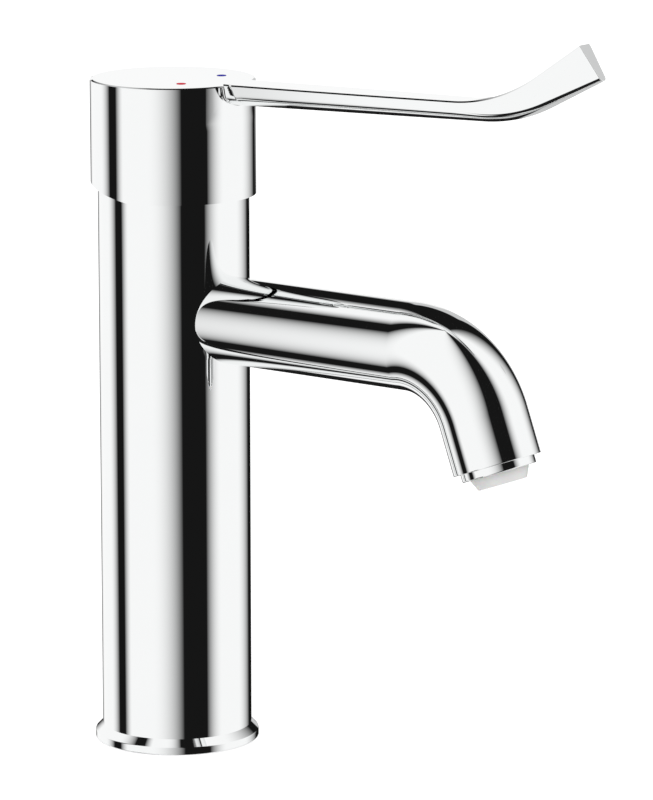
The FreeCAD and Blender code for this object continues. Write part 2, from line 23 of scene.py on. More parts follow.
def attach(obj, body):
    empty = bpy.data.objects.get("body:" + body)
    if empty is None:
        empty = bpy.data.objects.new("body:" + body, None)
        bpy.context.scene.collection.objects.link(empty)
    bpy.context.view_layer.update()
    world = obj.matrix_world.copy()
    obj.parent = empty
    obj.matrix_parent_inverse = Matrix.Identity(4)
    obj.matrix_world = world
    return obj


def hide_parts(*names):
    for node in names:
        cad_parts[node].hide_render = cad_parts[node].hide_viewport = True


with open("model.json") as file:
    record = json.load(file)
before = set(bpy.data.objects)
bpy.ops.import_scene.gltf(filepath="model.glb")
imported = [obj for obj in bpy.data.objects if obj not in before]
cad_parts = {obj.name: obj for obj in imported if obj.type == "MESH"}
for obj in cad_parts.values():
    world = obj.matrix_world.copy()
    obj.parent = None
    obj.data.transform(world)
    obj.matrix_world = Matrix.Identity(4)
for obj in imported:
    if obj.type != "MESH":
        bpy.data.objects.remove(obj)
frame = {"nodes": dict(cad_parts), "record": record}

log = logging.getLogger("basin_mixer")

MM = 0.001

# Distances in millimetres at which two places are one, touch, or lie near each other
MERGE = 1e-4
TOUCH = 1e-3
NEAR = 0.1

UP = Vector((0, 0, 1))
SIDE = Vector((1, 0, 0))
FRONT = Vector((0, -1, 0))
BACK = Vector((0, 1, 0))

Colour = tuple[float, float, float]
Socket = bpy.types.NodeSocket
Term = Socket | float
Span = tuple[float, float]
Chain = list[BMVert]


class Body(Enum):
    """The bodies that the rebuilt pieces ride on."""

    TAP = "tap_body"
    LEVER = "lever"


class Slot(Enum):
    """The record's material slots."""

    CHROME = "polished_chrome"
    BRASS = "machined_brass"
    COPPER = "copper_pipe"
    STEEL = "stainless_steel"
    RUBBER = "black_rubber"
    CERAMIC = "white_ceramic"
    CARTRIDGE = "grey_cartridge"
    INSERT = "white_insert"
    LIMITER = "limiter_orange"
    COVER = "cover_grey"
    HOT = "hot_red"
    COLD = "cold_blue"


# Finishes

class NodeSheet:
    """The node tree of a material or of the world, with short ways to add and join its nodes."""

    wave_length = math.pi / 10
    noise_roughness = 0.55
    noise_middle = (0.3, 0.7)
    mix_colours = (6, 7)
    mix_result = 2

    def __init__(self, owner: bpy.types.Material | bpy.types.World) -> None:
        """Starts an empty tree.

        Args:
            owner: the new material or world.
        """
        self.owner = owner
        owner.use_nodes = True
        self.tree = owner.node_tree
        self.tree.nodes.clear()

    def add(self, kind: str, **values: object) -> bpy.types.Node:
        """Adds a node and sets its unlinked sockets.

        Args:
            kind: the node's type.
            values: socket values, keyed by the socket's name with spaces as underscores.

        Returns:
            The new node.
        """
        node = self.tree.nodes.new(kind)
        for key, value in values.items():
            node.inputs[key.replace("_", " ")].default_value = value
        return node

    def link(self, source: Socket, target: Socket) -> None:
        """Joins an output to an input."""
        self.tree.links.new(source, target)

    def place(self, scale: Sequence[float]) -> Socket:
        """Object coordinates, stretched.

        Args:
            scale: how often the pattern repeats in a metre along each axis.

        Returns:
            The vector that a texture takes.
        """
        where = self.add("ShaderNodeTexCoord")
        mapping = self.add("ShaderNodeMapping", Scale=tuple(scale))
        self.link(where.outputs["Object"], mapping.inputs["Vector"])
        return mapping.outputs["Vector"]

    def noise(self, scale: Sequence[float], detail: float = 3.0) -> Socket:
        """A soft noise over the piece.

        Args:
            scale: how many blotches there are in a metre along each axis.
            detail: the number of finer layers.

        Returns:
            A value from 0 to 1.
        """
        texture = self.add("ShaderNodeTexNoise", Scale=1.0, Detail=detail, Roughness=self.noise_roughness)
        self.link(self.place(scale), texture.inputs["Vector"])
        return texture.outputs["Fac"]

    def remap(self, value: Socket, start: float, end: float, low: float = 0.0, high: float = 1.0) -> Socket:
        """Maps one range of values onto another, and holds what lies outside at its ends.

        Args:
            value: the value to map.
            start: the value that gives the low result.
            end: the value that gives the high result, on either side of the start.
            low: the result at the start.
            high: the result at the end.

        Returns:
            The mapped value.
        """
        ramp = self.add("ShaderNodeMapRange", From_Min=start, From_Max=end, To_Min=low, To_Max=high)
        self.link(value, ramp.inputs["Value"])
        return ramp.outputs["Result"]

    def vary(self, surface: bpy.types.Node, noise: Socket, tints: Sequence[Colour], roughness: Span) -> None:
        """Varies a surface's colour and roughness by a noise.

        Args:
            surface: the surface shader.
            noise: the noise, from 0 to 1.
            tints: the colours at 0 and at 1.
            roughness: the roughness at the noise's dark and bright places.
        """
        mix = self.add("ShaderNodeMix")
        mix.data_type = "RGBA"
        for index, tint in zip(self.mix_colours, tints):
            mix.inputs[index].default_value = (*tint, 1.0)
        self.link(noise, mix.inputs["Factor"])
        self.link(mix.outputs[self.mix_result], surface.inputs["Base Color"])
        self.link(self.remap(noise, *self.noise_middle, *roughness), surface.inputs["Roughness"])

    def relief(self, height: Socket, depth: float) -> Socket:
        """Turns a height pattern into a bumped normal.

        Args:
            height: the pattern.
            depth: its depth in metres.

        Returns:
            The normal.
        """
        bump = self.add("ShaderNodeBump", Strength=1.0, Distance=depth)
        self.link(height, bump.inputs["Height"])
        return bump.outputs["Normal"]

    def calculate(self, operation: str, *terms: Term) -> Socket:
        """Adds a Math node.

        Args:
            operation: what it works out.
            terms: its inputs, each a socket or a number.

        Returns:
            Its result.
        """
        node = self.add("ShaderNodeMath")
        node.operation = operation
        for term, target in zip(terms, node.inputs):
            if isinstance(term, Socket):
                self.link(term, target)
            else:
                target.default_value = term
        return node.outputs["Value"]

    def rest_of(self, share: Socket) -> Socket:
        """What a share leaves of one."""
        return self.calculate("SUBTRACT", 1.0, share)

    def surface(self, **values: object) -> bpy.types.Node:
        """Adds the surface shader and the output.

        Args:
            values: values of the shader's sockets.

        Returns:
            The surface shader.
        """
        shader = self.add("ShaderNodeBsdfPrincipled", **values)
        output = self.add("ShaderNodeOutputMaterial")
        self.link(shader.outputs["BSDF"], output.inputs["Surface"])
        return shader


def shade(colour: Colour, factor: float) -> Colour:
    """A colour made darker or paler by a factor."""
    return tuple(min(1.0, channel * factor) for channel in colour)


class Finish:
    """What all finishes share: how the material is made."""

    def material(self, name: str) -> bpy.types.Material:
        """Makes the material.

        Args:
            name: its name.

        Returns:
            The material.
        """
        sheet = NodeSheet(bpy.data.materials.new(name))
        self.paint(sheet)
        return sheet.owner

    def paint(self, sheet: NodeSheet) -> None:
        """Adds the nodes, which each kind of finish does in its own way."""
        raise NotImplementedError


@dataclass(frozen=True)
class PolishedChrome(Finish):
    """Mirror-bright plating, with faint wiping haze in its gloss."""

    colour: Colour = (0.93, 0.94, 0.94)
    hazed_shade: float = 0.985
    roughness: Span = (0.012, 0.03)
    haze_scale: Sequence[float] = (26.0, 26.0, 65.0)

    def paint(self, sheet: NodeSheet) -> None:
        """Adds the plating, with its haze."""
        tints = (shade(self.colour, self.hazed_shade), self.colour)
        sheet.vary(sheet.surface(Metallic=1.0), sheet.noise(self.haze_scale), tints, self.roughness)


@dataclass(frozen=True)
class TurnedMetal(Finish):
    """Bare metal with the fine rings that a lathe tool leaves."""

    colour: Colour
    roughness: float = 0.28
    shades: Span = (0.86, 1.06)
    dullness: Span = (0.8, 1.25)
    blotch_scale: float = 90.0
    ring_pitch: float = 0.157
    ring_depth: float = 0.004
    ring_waver: float = 0.4

    def paint(self, sheet: NodeSheet) -> None:
        """Adds the metal, with its blotches and its rings.

        Args:
            sheet: the material's node tree.
        """
        surface = sheet.surface(Metallic=1.0)
        tints = [shade(self.colour, factor) for factor in self.shades]
        low, high = (factor * self.roughness for factor in self.dullness)
        sheet.vary(surface, sheet.noise([self.blotch_scale] * 3), tints, (low, high))
        scale = sheet.wave_length / (self.ring_pitch * MM)
        rings = sheet.add("ShaderNodeTexWave", Scale=scale, Distortion=self.ring_waver, Detail=1.0)
        rings.bands_direction = "Z"
        sheet.link(sheet.place((1, 1, 1)), rings.inputs["Vector"])
        relief = sheet.relief(rings.outputs["Fac"], self.ring_depth * MM)
        sheet.link(relief, surface.inputs["Normal"])


@dataclass(frozen=True)
class Moulding(Finish):
    """Moulded plastic, rubber or fired ceramic, with a grain and uneven gloss."""

    colour: Colour
    roughness: float = 0.4
    unevenness: float = 0.06
    dullness: Span = (0.85, 1.15)
    cloud_scale: float = 60.0
    grain_pitch: float = 0.35
    grain_depth: float = 0.006
    coat: float = 0.0
    coat_roughness: float = 0.05
    scatter: float = 0.0
    scatter_depth: float = 1.2
    shine: float = 0.5

    def paint(self, sheet: NodeSheet) -> None:
        """Adds the material's body, with its clouds and its grain.

        Args:
            sheet: the material's node tree.
        """
        surface = sheet.surface(Coat_Weight=self.coat, Coat_Roughness=self.coat_roughness,
                                Subsurface_Weight=self.scatter, Subsurface_Scale=self.scatter_depth * MM,
                                Specular_IOR_Level=self.shine)
        tints = [shade(self.colour, factor) for factor in (1 - self.unevenness, 1 + self.unevenness)]
        low, high = (factor * self.roughness for factor in self.dullness)
        sheet.vary(surface, sheet.noise([self.cloud_scale] * 3), tints, (low, high))
        grain = sheet.noise([1.0 / (self.grain_pitch * MM)] * 3, detail=2.0)
        sheet.link(sheet.relief(grain, self.grain_depth * MM), surface.inputs["Normal"])


FINISHES: dict[Slot, Finish] = {
    Slot.CHROME: PolishedChrome(),
    Slot.BRASS: TurnedMetal((0.80, 0.58, 0.26)),
    Slot.COPPER: TurnedMetal((0.83, 0.42, 0.26), roughness=0.33, ring_depth=0.001),
    Slot.STEEL: TurnedMetal((0.62, 0.62, 0.61), roughness=0.3),
    Slot.RUBBER: Moulding((0.018, 0.018, 0.02), roughness=0.62, grain_depth=0.012),
    Slot.CERAMIC: Moulding((0.86, 0.85, 0.80), roughness=0.16, unevenness=0.02, coat=0.4),
    Slot.CARTRIDGE: Moulding((0.33, 0.35, 0.37), roughness=0.42),
    Slot.INSERT: Moulding((0.90, 0.90, 0.89), roughness=0.36, unevenness=0.02, scatter=0.15),
    Slot.LIMITER: Moulding((0.86, 0.27, 0.04), roughness=0.4),
    Slot.COVER: Moulding((0.42, 0.43, 0.44), roughness=0.35),
    Slot.HOT: Moulding((0.72, 0.02, 0.05), roughness=0.5, unevenness=0.04, shine=0.02),
    Slot.COLD: Moulding((0.045, 0.04, 0.42), roughness=0.5, unevenness=0.04, shine=0.02),
}


@cache
def material_of(slot: Slot) -> bpy.types.Material:
    """The material of a slot, made at its first use."""
    return FINISHES[slot].material(slot.value)


# Shaping

def evenly(first: float, last: float, steps: int) -> list[float]:
    """Values at even steps from a first to a last, with both."""
    return [first + (last - first) * step / steps for step in range(steps + 1)]


def of_kind(items: Iterable[object], kind: type) -> list:
    """The vertices, edges or faces among the things that an operator gives back."""
    return [item for item in items if isinstance(item, kind)]


def chain_edges(mesh: BMesh, chain: Chain, closed: bool = False) -> list[BMEdge]:
    """The edges along a chain of vertices, with the one from its end to its start if it is closed."""
    return [mesh.edges.get(pair) for pair in pairwise(chain + chain[:1] if closed else chain)]


def open_edges(mesh: BMesh, where: Callable[[Vector], bool]) -> list[BMEdge]:
    """The edges with a face on one side only, both ends of which pass a test of their place."""
    return [edge for edge in mesh.edges if edge.is_boundary and all(where(vert.co) for vert in edge.verts)]


def ordered_copy(mesh: BMesh, chain: Chain, closed: bool = False) -> Chain:
    """Extrudes a chain of vertices, which leaves the new ones in the same order and place.

    Args:
        mesh: the mesh that holds the chain.
        chain: vertices that are joined by edges, one after the other.
        closed: whether the last vertex is joined to the first.

    Returns:
        The new chain.
    """
    made = bmesh.ops.extrude_edge_only(mesh, edges=chain_edges(mesh, chain, closed))["geom"]
    fresh = set(of_kind(made, BMVert))
    return [next(edge.other_vert(vert) for edge in vert.link_edges if edge.other_vert(vert) in fresh)
            for vert in chain]


def next_ring(mesh: BMesh, ring: Chain, place: Callable[[Vector], Vector]) -> Chain:
    """Extrudes a ring of vertices to new places.

    Args:
        mesh: the mesh that holds the ring.
        ring: its vertices in order.
        place: gives a new vertex's place from the old one's.

    Returns:
        The new ring.
    """
    fresh = ordered_copy(mesh, ring, closed=True)
    for vert in fresh:
        vert.co = place(vert.co)
    return fresh


def walk_round(verts: Iterable[BMVert], along: set[BMEdge] | None = None) -> Chain:
    """Walks round a ring of vertices, from the one furthest to the hot side.

    Args:
        verts: the ring's vertices in any order.
        along: the edges that the walk may take, or None for all.

    Returns:
        The same vertices, each beside its neighbours.
    """
    left = set(verts)
    current = min(left, key=lambda vert: vert.co.to_tuple())
    ring = []
    while current is not None:
        ring.append(current)
        left.discard(current)
        near = (edge.other_vert(current) for edge in current.link_edges if along is None or edge in along)
        current = next((vert for vert in near if vert in left), None)
    return ring


def join_rings(mesh: BMesh, one: Chain, other: Chain) -> None:
    """Joins two rings of vertices by a wall."""
    edges = chain_edges(mesh, one, closed=True) + chain_edges(mesh, other, closed=True)
    bmesh.ops.bridge_loops(mesh, edges=edges)


def draw_circle(mesh: BMesh, sides: int, radius: float, place: Vector) -> list[BMEdge]:
    """Draws a level circle.

    Args:
        mesh: the mesh that takes it.
        sides: its divisions.
        radius: its radius.
        place: its centre.

    Returns:
        Its edges.
    """
    made = bmesh.ops.create_circle(mesh, segments=sides, radius=radius, cap_ends=False,
                                   matrix=Matrix.Translation(place))
    return list(dict.fromkeys(edge for vert in made["verts"] for edge in vert.link_edges))


def spin_outline(mesh: BMesh, outline: Sequence[Span], steps: int, closed: bool) -> None:
    """Spins an outline round the Z axis.

    Args:
        mesh: the mesh that takes the wall.
        outline: points as radius and height.
        steps: the number of divisions round the axis.
        closed: whether the last point joins the first.
    """
    verts = [mesh.verts.new((radius, 0, height)) for radius, height in outline]
    edges = [mesh.edges.new(pair) for pair in pairwise(verts)]
    if closed:
        edges.append(mesh.edges.new((verts[-1], verts[0])))
    bmesh.ops.spin(mesh, geom=verts + edges, cent=(0, 0, 0), axis=UP, dvec=(0, 0, 0),
                   angle=2 * math.pi, steps=steps, use_merge=True)


def fold_edges(mesh: BMesh, where: Callable[[Vector], bool], least: float = 60.0) -> list[BMEdge]:
    """The edges at which the surface folds.

    Args:
        mesh: the mesh to search.
        where: a test of the edge's middle point.
        least: the smallest fold that counts, in degrees.

    Returns:
        The edges found.
    """
    limit = math.radians(least)
    folds = (edge for edge in mesh.edges if edge.is_manifold and edge.calc_face_angle(0.0) > limit)
    return [edge for edge in folds if where((edge.verts[0].co + edge.verts[1].co) / 2)]


def round_edges(mesh: BMesh, edges: list[BMEdge], width: float, segments: int = 3) -> None:
    """Rounds edges, and marks the faces beside them as the ones that set the shading.

    Args:
        mesh: the mesh to change.
        edges: the edges to round.
        width: how far the rounding reaches from the edge.
        segments: its divisions.
    """
    bmesh.ops.bevel(mesh, geom=edges, offset=width, offset_type="OFFSET", affect="EDGES",
                    segments=segments, profile=0.5, material=-1, clamp_overlap=True,
                    face_strength_mode="ALL")


def face_outwards(mesh: BMesh) -> None:
    """Joins doubled vertices and turns every face outwards."""
    bmesh.ops.remove_doubles(mesh, verts=mesh.verts[:], dist=MERGE)
    bmesh.ops.recalc_face_normals(mesh, faces=mesh.faces[:])


class RingSweep:
    """A ring that is pulled through space and leaves a wall behind it."""

    def __init__(self, mesh: BMesh, segments: int, radius: float, centre: Vector, axis: Vector) -> None:
        """Sets the first ring.

        Args:
            mesh: the mesh that takes the wall.
            segments: the ring's divisions.
            radius: its radius.
            centre: its centre.
            axis: the direction in which it is pulled first.
        """
        self.mesh, self.radius, self.centre = mesh, radius, centre.copy()
        turn = UP.rotation_difference(axis).to_matrix().to_4x4()
        made = bmesh.ops.create_circle(mesh, segments=segments, radius=radius, cap_ends=False,
                                       matrix=Matrix.Translation(centre) @ turn)
        self.ring: Chain = walk_round(made["verts"])
        self.first = list(self.ring)

    def step(self) -> Chain:
        """Leaves a wall behind and makes the new ring the current one."""
        self.ring = ordered_copy(self.mesh, self.ring, closed=True)
        return self.ring

    def pull(self, move: Vector) -> None:
        """Pulls the ring straight, as far as the move says."""
        bmesh.ops.translate(self.mesh, verts=self.step(), vec=move)
        self.centre += move

    def turn(self, pivot: Vector, axis: Vector, angle: float, steps: int) -> None:
        """Pulls the ring round a bend.

        Args:
            pivot: the bend's centre.
            axis: the line that it turns about.
            angle: how far, in radians.
            steps: the bend's divisions.
        """
        turn = Matrix.Rotation(angle / steps, 3, axis)
        for _ in range(steps):
            bmesh.ops.rotate(self.mesh, verts=self.step(), cent=pivot, matrix=turn)
            self.centre = pivot + turn @ (self.centre - pivot)

    def resize(self, radius: float) -> None:
        """Draws a flat step from the ring to another radius.

        Args:
            radius: the new ring's radius.
        """
        share = radius / self.radius
        self.ring = next_ring(self.mesh, self.ring, lambda place: self.centre.lerp(place, share))
        self.radius = radius

    def lay_on_column(self, radius: float) -> None:
        """Moves the current ring along Y onto the front of an upright column of that radius."""
        for vert in self.ring:
            vert.co.y = -math.sqrt(radius ** 2 - vert.co.x ** 2)

    def join_ends(self) -> None:
        """Joins the first ring and the last, which closes the wall."""
        join_rings(self.mesh, self.first, self.ring)


class WallWindow:
    """An opening in an upright round wall, drawn in from a window of its faces."""

    radius_play = 0.02

    def __init__(self, mesh: BMesh, radius: float, facing: Vector, height: float) -> None:
        """Notes the wall's mesh and radius, the level direction that the opening faces, and its height."""
        self.mesh, self.radius, self.height = mesh, radius, height
        self.facing, self.across = facing, UP.cross(facing)

    def drawn_in(self, place: Vector, hole_radius: float, share: float) -> Vector:
        """Draws a place of the wall towards a round hole.

        Args:
            place: the place.
            hole_radius: the hole's radius.
            share: how much of the way to its edge to go.

        Returns:
            The new place.
        """
        aside, above = place.dot(self.across), place.z - self.height
        reach = math.hypot(aside, above)
        stretch = 1 + (hole_radius / reach - 1) * share
        aside, above = aside * stretch, above * stretch
        depth = math.sqrt(self.radius ** 2 - aside ** 2)
        return self.facing * depth + self.across * aside + UP * (self.height + above)

    def cut(self, half_width: float, half_height: float, hole_radius: float, rings: int = 2) -> Chain:
        """Takes out a window and draws its edge in to a round hole.

        Args:
            half_width: half the window's width.
            half_height: half its height.
            hole_radius: the hole's radius.
            rings: how many rings of faces lie between the window and the hole.

        Returns:
            The hole's edge.
        """
        faces = [face for face in self.mesh.faces if self.holds(face, half_width, half_height)]
        inside = set(faces)
        rim = {edge for face in faces for edge in face.edges
               if any(other not in inside for other in edge.link_faces)}
        verts = {vert for edge in rim for vert in edge.verts}
        bmesh.ops.delete(self.mesh, geom=faces, context="FACES")
        chain = walk_round(verts, rim)
        for left in range(rings, 0, -1):
            chain = next_ring(self.mesh, chain, lambda place: self.drawn_in(place, hole_radius, 1 / left))
        return chain

    def holds(self, face: BMFace, half_width: float, half_height: float) -> bool:
        """Tells whether a face of this wall lies in the window.

        Args:
            face: the face.
            half_width: half the window's width.
            half_height: half its height.

        Returns:
            True if it does.
        """
        centre = face.calc_center_median()
        level = math.hypot(centre.x, centre.y)
        if abs(level - self.radius) > self.radius_play * self.radius or centre.dot(self.facing) < 0:
            return False
        beside = abs(centre.dot(self.across))
        return beside < half_width and abs(centre.z - self.height) < half_height


def add_object(name: str, data: bpy.types.ID) -> bpy.types.Object:
    """Makes an object and puts it into the scene.

    Args:
        name: its name.
        data: its mesh, lamp or camera.

    Returns:
        The object.
    """
    made = bpy.data.objects.new(name, data)
    bpy.context.scene.collection.objects.link(made)
    return made


def publish(
    mesh: BMesh, name: str, node: str, slot: Slot, body: Body = Body.TAP, crease: float = 40.0
) -> None:
    """Turns a mesh in millimetres into a piece that stands for a node.

    Args:
        mesh: the mesh, which is used up.
        name: the piece's name.
        node: the node that it replaces.
        slot: its finish.
        body: the body that it rides on.
        crease: edges that fold by more than this many degrees stay sharp.
    """
    face_outwards(mesh)
    data = bpy.data.meshes.new(name)
    mesh.to_mesh(data)
    mesh.free()
    data.transform(Matrix.Scale(MM, 4))
    data.shade_smooth()
    data.set_sharp_from_angle(angle=math.radians(crease))
    data.materials.append(material_of(slot))
    piece = add_object(name, data)
    shading = piece.modifiers.new("even_shading", "WEIGHTED_NORMAL")
    shading.keep_sharp = True
    shading.use_face_influence = True
    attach(piece, body.value)
    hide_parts(node)
    log.info("%s: %d faces on %s", name, len(data.polygons), body.value)


# Base and column

@dataclass
class Base:
    """The foot ring that the tap stands on."""

    radius: float = 27.4
    band: float = 2.4
    chamfer: float = 2.4
    column_radius: float = 25.0
    inner_radius: float = 22.4
    lip_wall: float = 1.9
    lip_height: float = 2.0
    bore_radius: float = 19.5
    groove_inner: float = 23.2
    groove_outer: float = 26.0
    groove_depth: float = 1.9
    edge: float = 0.22
    clearance: float = 0.6
    least_fold: float = 30.0
    steps: int = 160

    def outline(self) -> list[Span]:
        """Draws the ring's outline.

        Returns:
            Its points, as radius and height.
        """
        height = self.band + self.chamfer
        lip = self.inner_radius - self.lip_wall
        return [
            (self.bore_radius, 0),
            (self.groove_inner, 0),
            (self.groove_inner, self.groove_depth),
            (self.groove_outer, self.groove_depth),
            (self.groove_outer, 0),
            (self.radius, 0),
            (self.radius, self.band),
            (self.radius - self.chamfer, height),
            (self.inner_radius, height),
            (self.inner_radius, height + self.lip_height),
            (lip, height + self.lip_height),
            (lip, height),
            (self.bore_radius, height),
        ]

    def build(self) -> None:
        """Builds the ring."""
        mesh = bmesh.new()
        spin_outline(mesh, self.outline(), self.steps, closed=True)
        face_outwards(mesh)
        hidden = self.column_radius + self.clearance
        folds = fold_edges(mesh, lambda middle: middle.xy.length > hidden, self.least_fold)
        round_edges(mesh, folds, self.edge)
        publish(mesh, "foot_ring", "base_ring", Slot.CHROME)


@dataclass
class Column:
    """The tall tube, with the round hole behind the spout."""

    radius: float = 25.0
    wall: float = 2.5
    bottom: float = 4.8
    top: float = 191.5
    edge: float = 0.6
    hole_radius: float = 9.1
    hole_height: float = 144.6
    window_half: float = 12.0
    window_rows: int = 8
    lower_rows: Span = (60.0, 110.0)
    upper_row: float = 174.0
    steps: int = 160

    def rows(self) -> list[float]:
        """Spaces the tube's rows of vertices, close together round the hole.

        Returns:
            Their heights.
        """
        low, high = self.hole_height - self.window_half, self.hole_height + self.window_half
        near_hole = evenly(low, high, self.window_rows)
        return [self.bottom, *self.lower_rows, *near_hole, self.upper_row, self.top]

    def build(self) -> None:
        """Builds the tube."""
        mesh = bmesh.new()
        rows, bore = self.rows(), self.radius - self.wall
        outline = [(self.radius, height) for height in rows] + [(bore, height) for height in reversed(rows)]
        spin_outline(mesh, outline, self.steps, closed=True)
        half = self.window_half
        windows = [WallWindow(mesh, radius, FRONT, self.hole_height) for radius in (self.radius, bore)]
        join_rings(mesh, *(window.cut(half, half, self.hole_radius) for window in windows))
        face_outwards(mesh)
        rim = fold_edges(mesh, lambda middle: middle.z > self.top - NEAR
                         and middle.xy.length > self.radius - NEAR)
        round_edges(mesh, rim, self.edge)
        publish(mesh, "column_tube", "column_body", Slot.CHROME)


# Spout and aerator

@dataclass
class Spout:
    """The bent spout, hollow from its root on the column to its open end."""

    radius: float = 14.4
    bore_radius: float = 10.8
    height: float = 144.6
    run: float = 98.0
    bend_radius: float = 30.2
    bend_angle: float = math.radians(69.8)
    end_length: float = 15.7
    column_radius: float = 25.0
    spigot_radius: float = 9.05
    spigot_reach: float = 44.1
    seat_radius: float = 11.5
    seat_depth: float = 9.5
    edge: float = 0.3
    segments: int = 96
    bend_steps: int = 36

    def outlet(self) -> Matrix:
        """Works out where the spout's open end is.

        Returns:
            Its place, with Z along the water's way out.
        """
        angle = self.bend_angle
        flow = Vector((0, -math.cos(angle), -math.sin(angle)))
        centre = Vector((0, -self.run - self.bend_radius * math.sin(angle),
                         self.height - self.bend_radius * (1 - math.cos(angle))))
        turn = UP.rotation_difference(flow).to_matrix().to_4x4()
        return Matrix.Translation(centre + flow * self.end_length) @ turn

    def build(self) -> None:
        """Builds the spout."""
        mesh = bmesh.new()
        pivot = Vector((0, -self.run, self.height - self.bend_radius))
        flow = self.outlet().to_3x3() @ UP
        root = Vector((0, -self.column_radius, self.height))
        sweep = RingSweep(mesh, self.segments, self.radius, root, FRONT)
        sweep.lay_on_column(self.column_radius)
        sweep.pull(FRONT * (self.run - self.column_radius))
        for vert in sweep.ring:
            vert.co.y = -self.run
        sweep.turn(pivot, SIDE, self.bend_angle, self.bend_steps)
        sweep.pull(flow * self.end_length)
        sweep.resize(self.seat_radius)
        sweep.pull(-flow * self.seat_depth)
        sweep.resize(self.bore_radius)
        sweep.pull(-flow * (self.end_length - self.seat_depth))
        sweep.turn(pivot, SIDE, -self.bend_angle, self.bend_steps)
        sweep.pull(BACK * (self.run - self.spigot_reach))
        sweep.resize(self.spigot_radius)
        sweep.pull(BACK * (self.spigot_reach - self.column_radius))
        sweep.lay_on_column(self.column_radius)
        sweep.join_ends()
        face_outwards(mesh)
        to_outlet = self.outlet().inverted()
        lip = fold_edges(mesh, lambda middle: abs((to_outlet @ middle).z) < TOUCH)
        round_edges(mesh, lip, self.edge)
        publish(mesh, "bent_spout", "spout_tube", Slot.CHROME)


@dataclass
class Aerator:
    """The ring in the spout's end and its white insert, drawn with the water flowing up."""

    outlet: Matrix
    thread_radius: float = 11.4
    thread_length: float = 8.0
    collar_radius: float = 12.2
    collar_height: float = 2.6
    collar_edge: float = 0.45
    insert_radius: float = 9.7
    nose_taper: float = 1.7
    nose_height: float = 3.8
    nose_edge: float = 0.35
    play: float = 0.05
    jet_radius: float = 0.9
    jet_pitch: float = 2.6
    jet_rings: int = 2
    first_ring_jets: int = 6
    jet_sides: int = 20
    steps: int = 112

    def ring_mesh(self) -> BMesh:
        """Turns the chromed ring.

        Returns:
            Its mesh.
        """
        mesh = bmesh.new()
        bore = self.insert_radius + self.play
        spin_outline(mesh, [
            (bore, -self.thread_length),
            (self.thread_radius, -self.thread_length),
            (self.thread_radius, 0),
            (self.collar_radius, 0),
            (self.collar_radius, self.collar_height),
            (bore, self.collar_height),
        ], self.steps, closed=True)
        face_outwards(mesh)
        lip = fold_edges(mesh, lambda middle: middle.z > self.collar_height - TOUCH
                         and middle.xy.length > self.thread_radius)
        round_edges(mesh, lip, self.collar_edge)
        return mesh

    def jet_places(self) -> list[Vector]:
        """Sets the jets in rings about the middle one.

        Returns:
            Their centres.
        """
        places = [Vector((0, 0, 0))]
        for ring in range(1, self.jet_rings + 1):
            for angle in evenly(0.0, 2 * math.pi, self.first_ring_jets * ring)[:-1]:
                places.append(Vector((math.cos(angle), math.sin(angle), 0)) * self.jet_pitch * ring)
        return places

    def insert_mesh(self) -> BMesh:
        """Forms the white insert, with its jets bored right through.

        Returns:
            Its mesh.
        """
        mesh = bmesh.new()
        top = self.collar_height + self.nose_height
        bottom = -self.thread_length
        nose = self.insert_radius - self.nose_taper
        spin_outline(mesh, [
            (self.insert_radius, bottom),
            (self.insert_radius, self.collar_height),
            (nose, top),
        ], self.steps, closed=False)
        for height in (bottom, top):
            edges = open_edges(mesh, lambda place: abs(place.z - height) < TOUCH)
            for jet in self.jet_places():
                edges += draw_circle(mesh, self.jet_sides, self.jet_radius, jet + UP * height)
            bmesh.ops.triangle_fill(mesh, use_beauty=True, use_dissolve=False, edges=edges, normal=UP)
        for jet in self.jet_places():
            ends = open_edges(mesh, lambda place: abs((place - jet).xy.length - self.jet_radius) < TOUCH)
            bmesh.ops.bridge_loops(mesh, edges=ends)
        face_outwards(mesh)
        jets_reach = self.jet_pitch * self.jet_rings + 2 * self.jet_radius
        lip = fold_edges(mesh, lambda middle: middle.z > top - TOUCH and middle.xy.length > jets_reach)
        round_edges(mesh, lip, self.nose_edge)
        return mesh

    def build(self) -> None:
        """Builds the ring and the insert."""
        for name, node, slot, mesh in (
            ("aerator_collar", "aerator_ring", Slot.CHROME, self.ring_mesh()),
            ("jet_insert", "flow_straightener", Slot.INSERT, self.insert_mesh()),
        ):
            bmesh.ops.transform(mesh, matrix=self.outlet, verts=mesh.verts[:])
            publish(mesh, name, node, slot)


# Lever

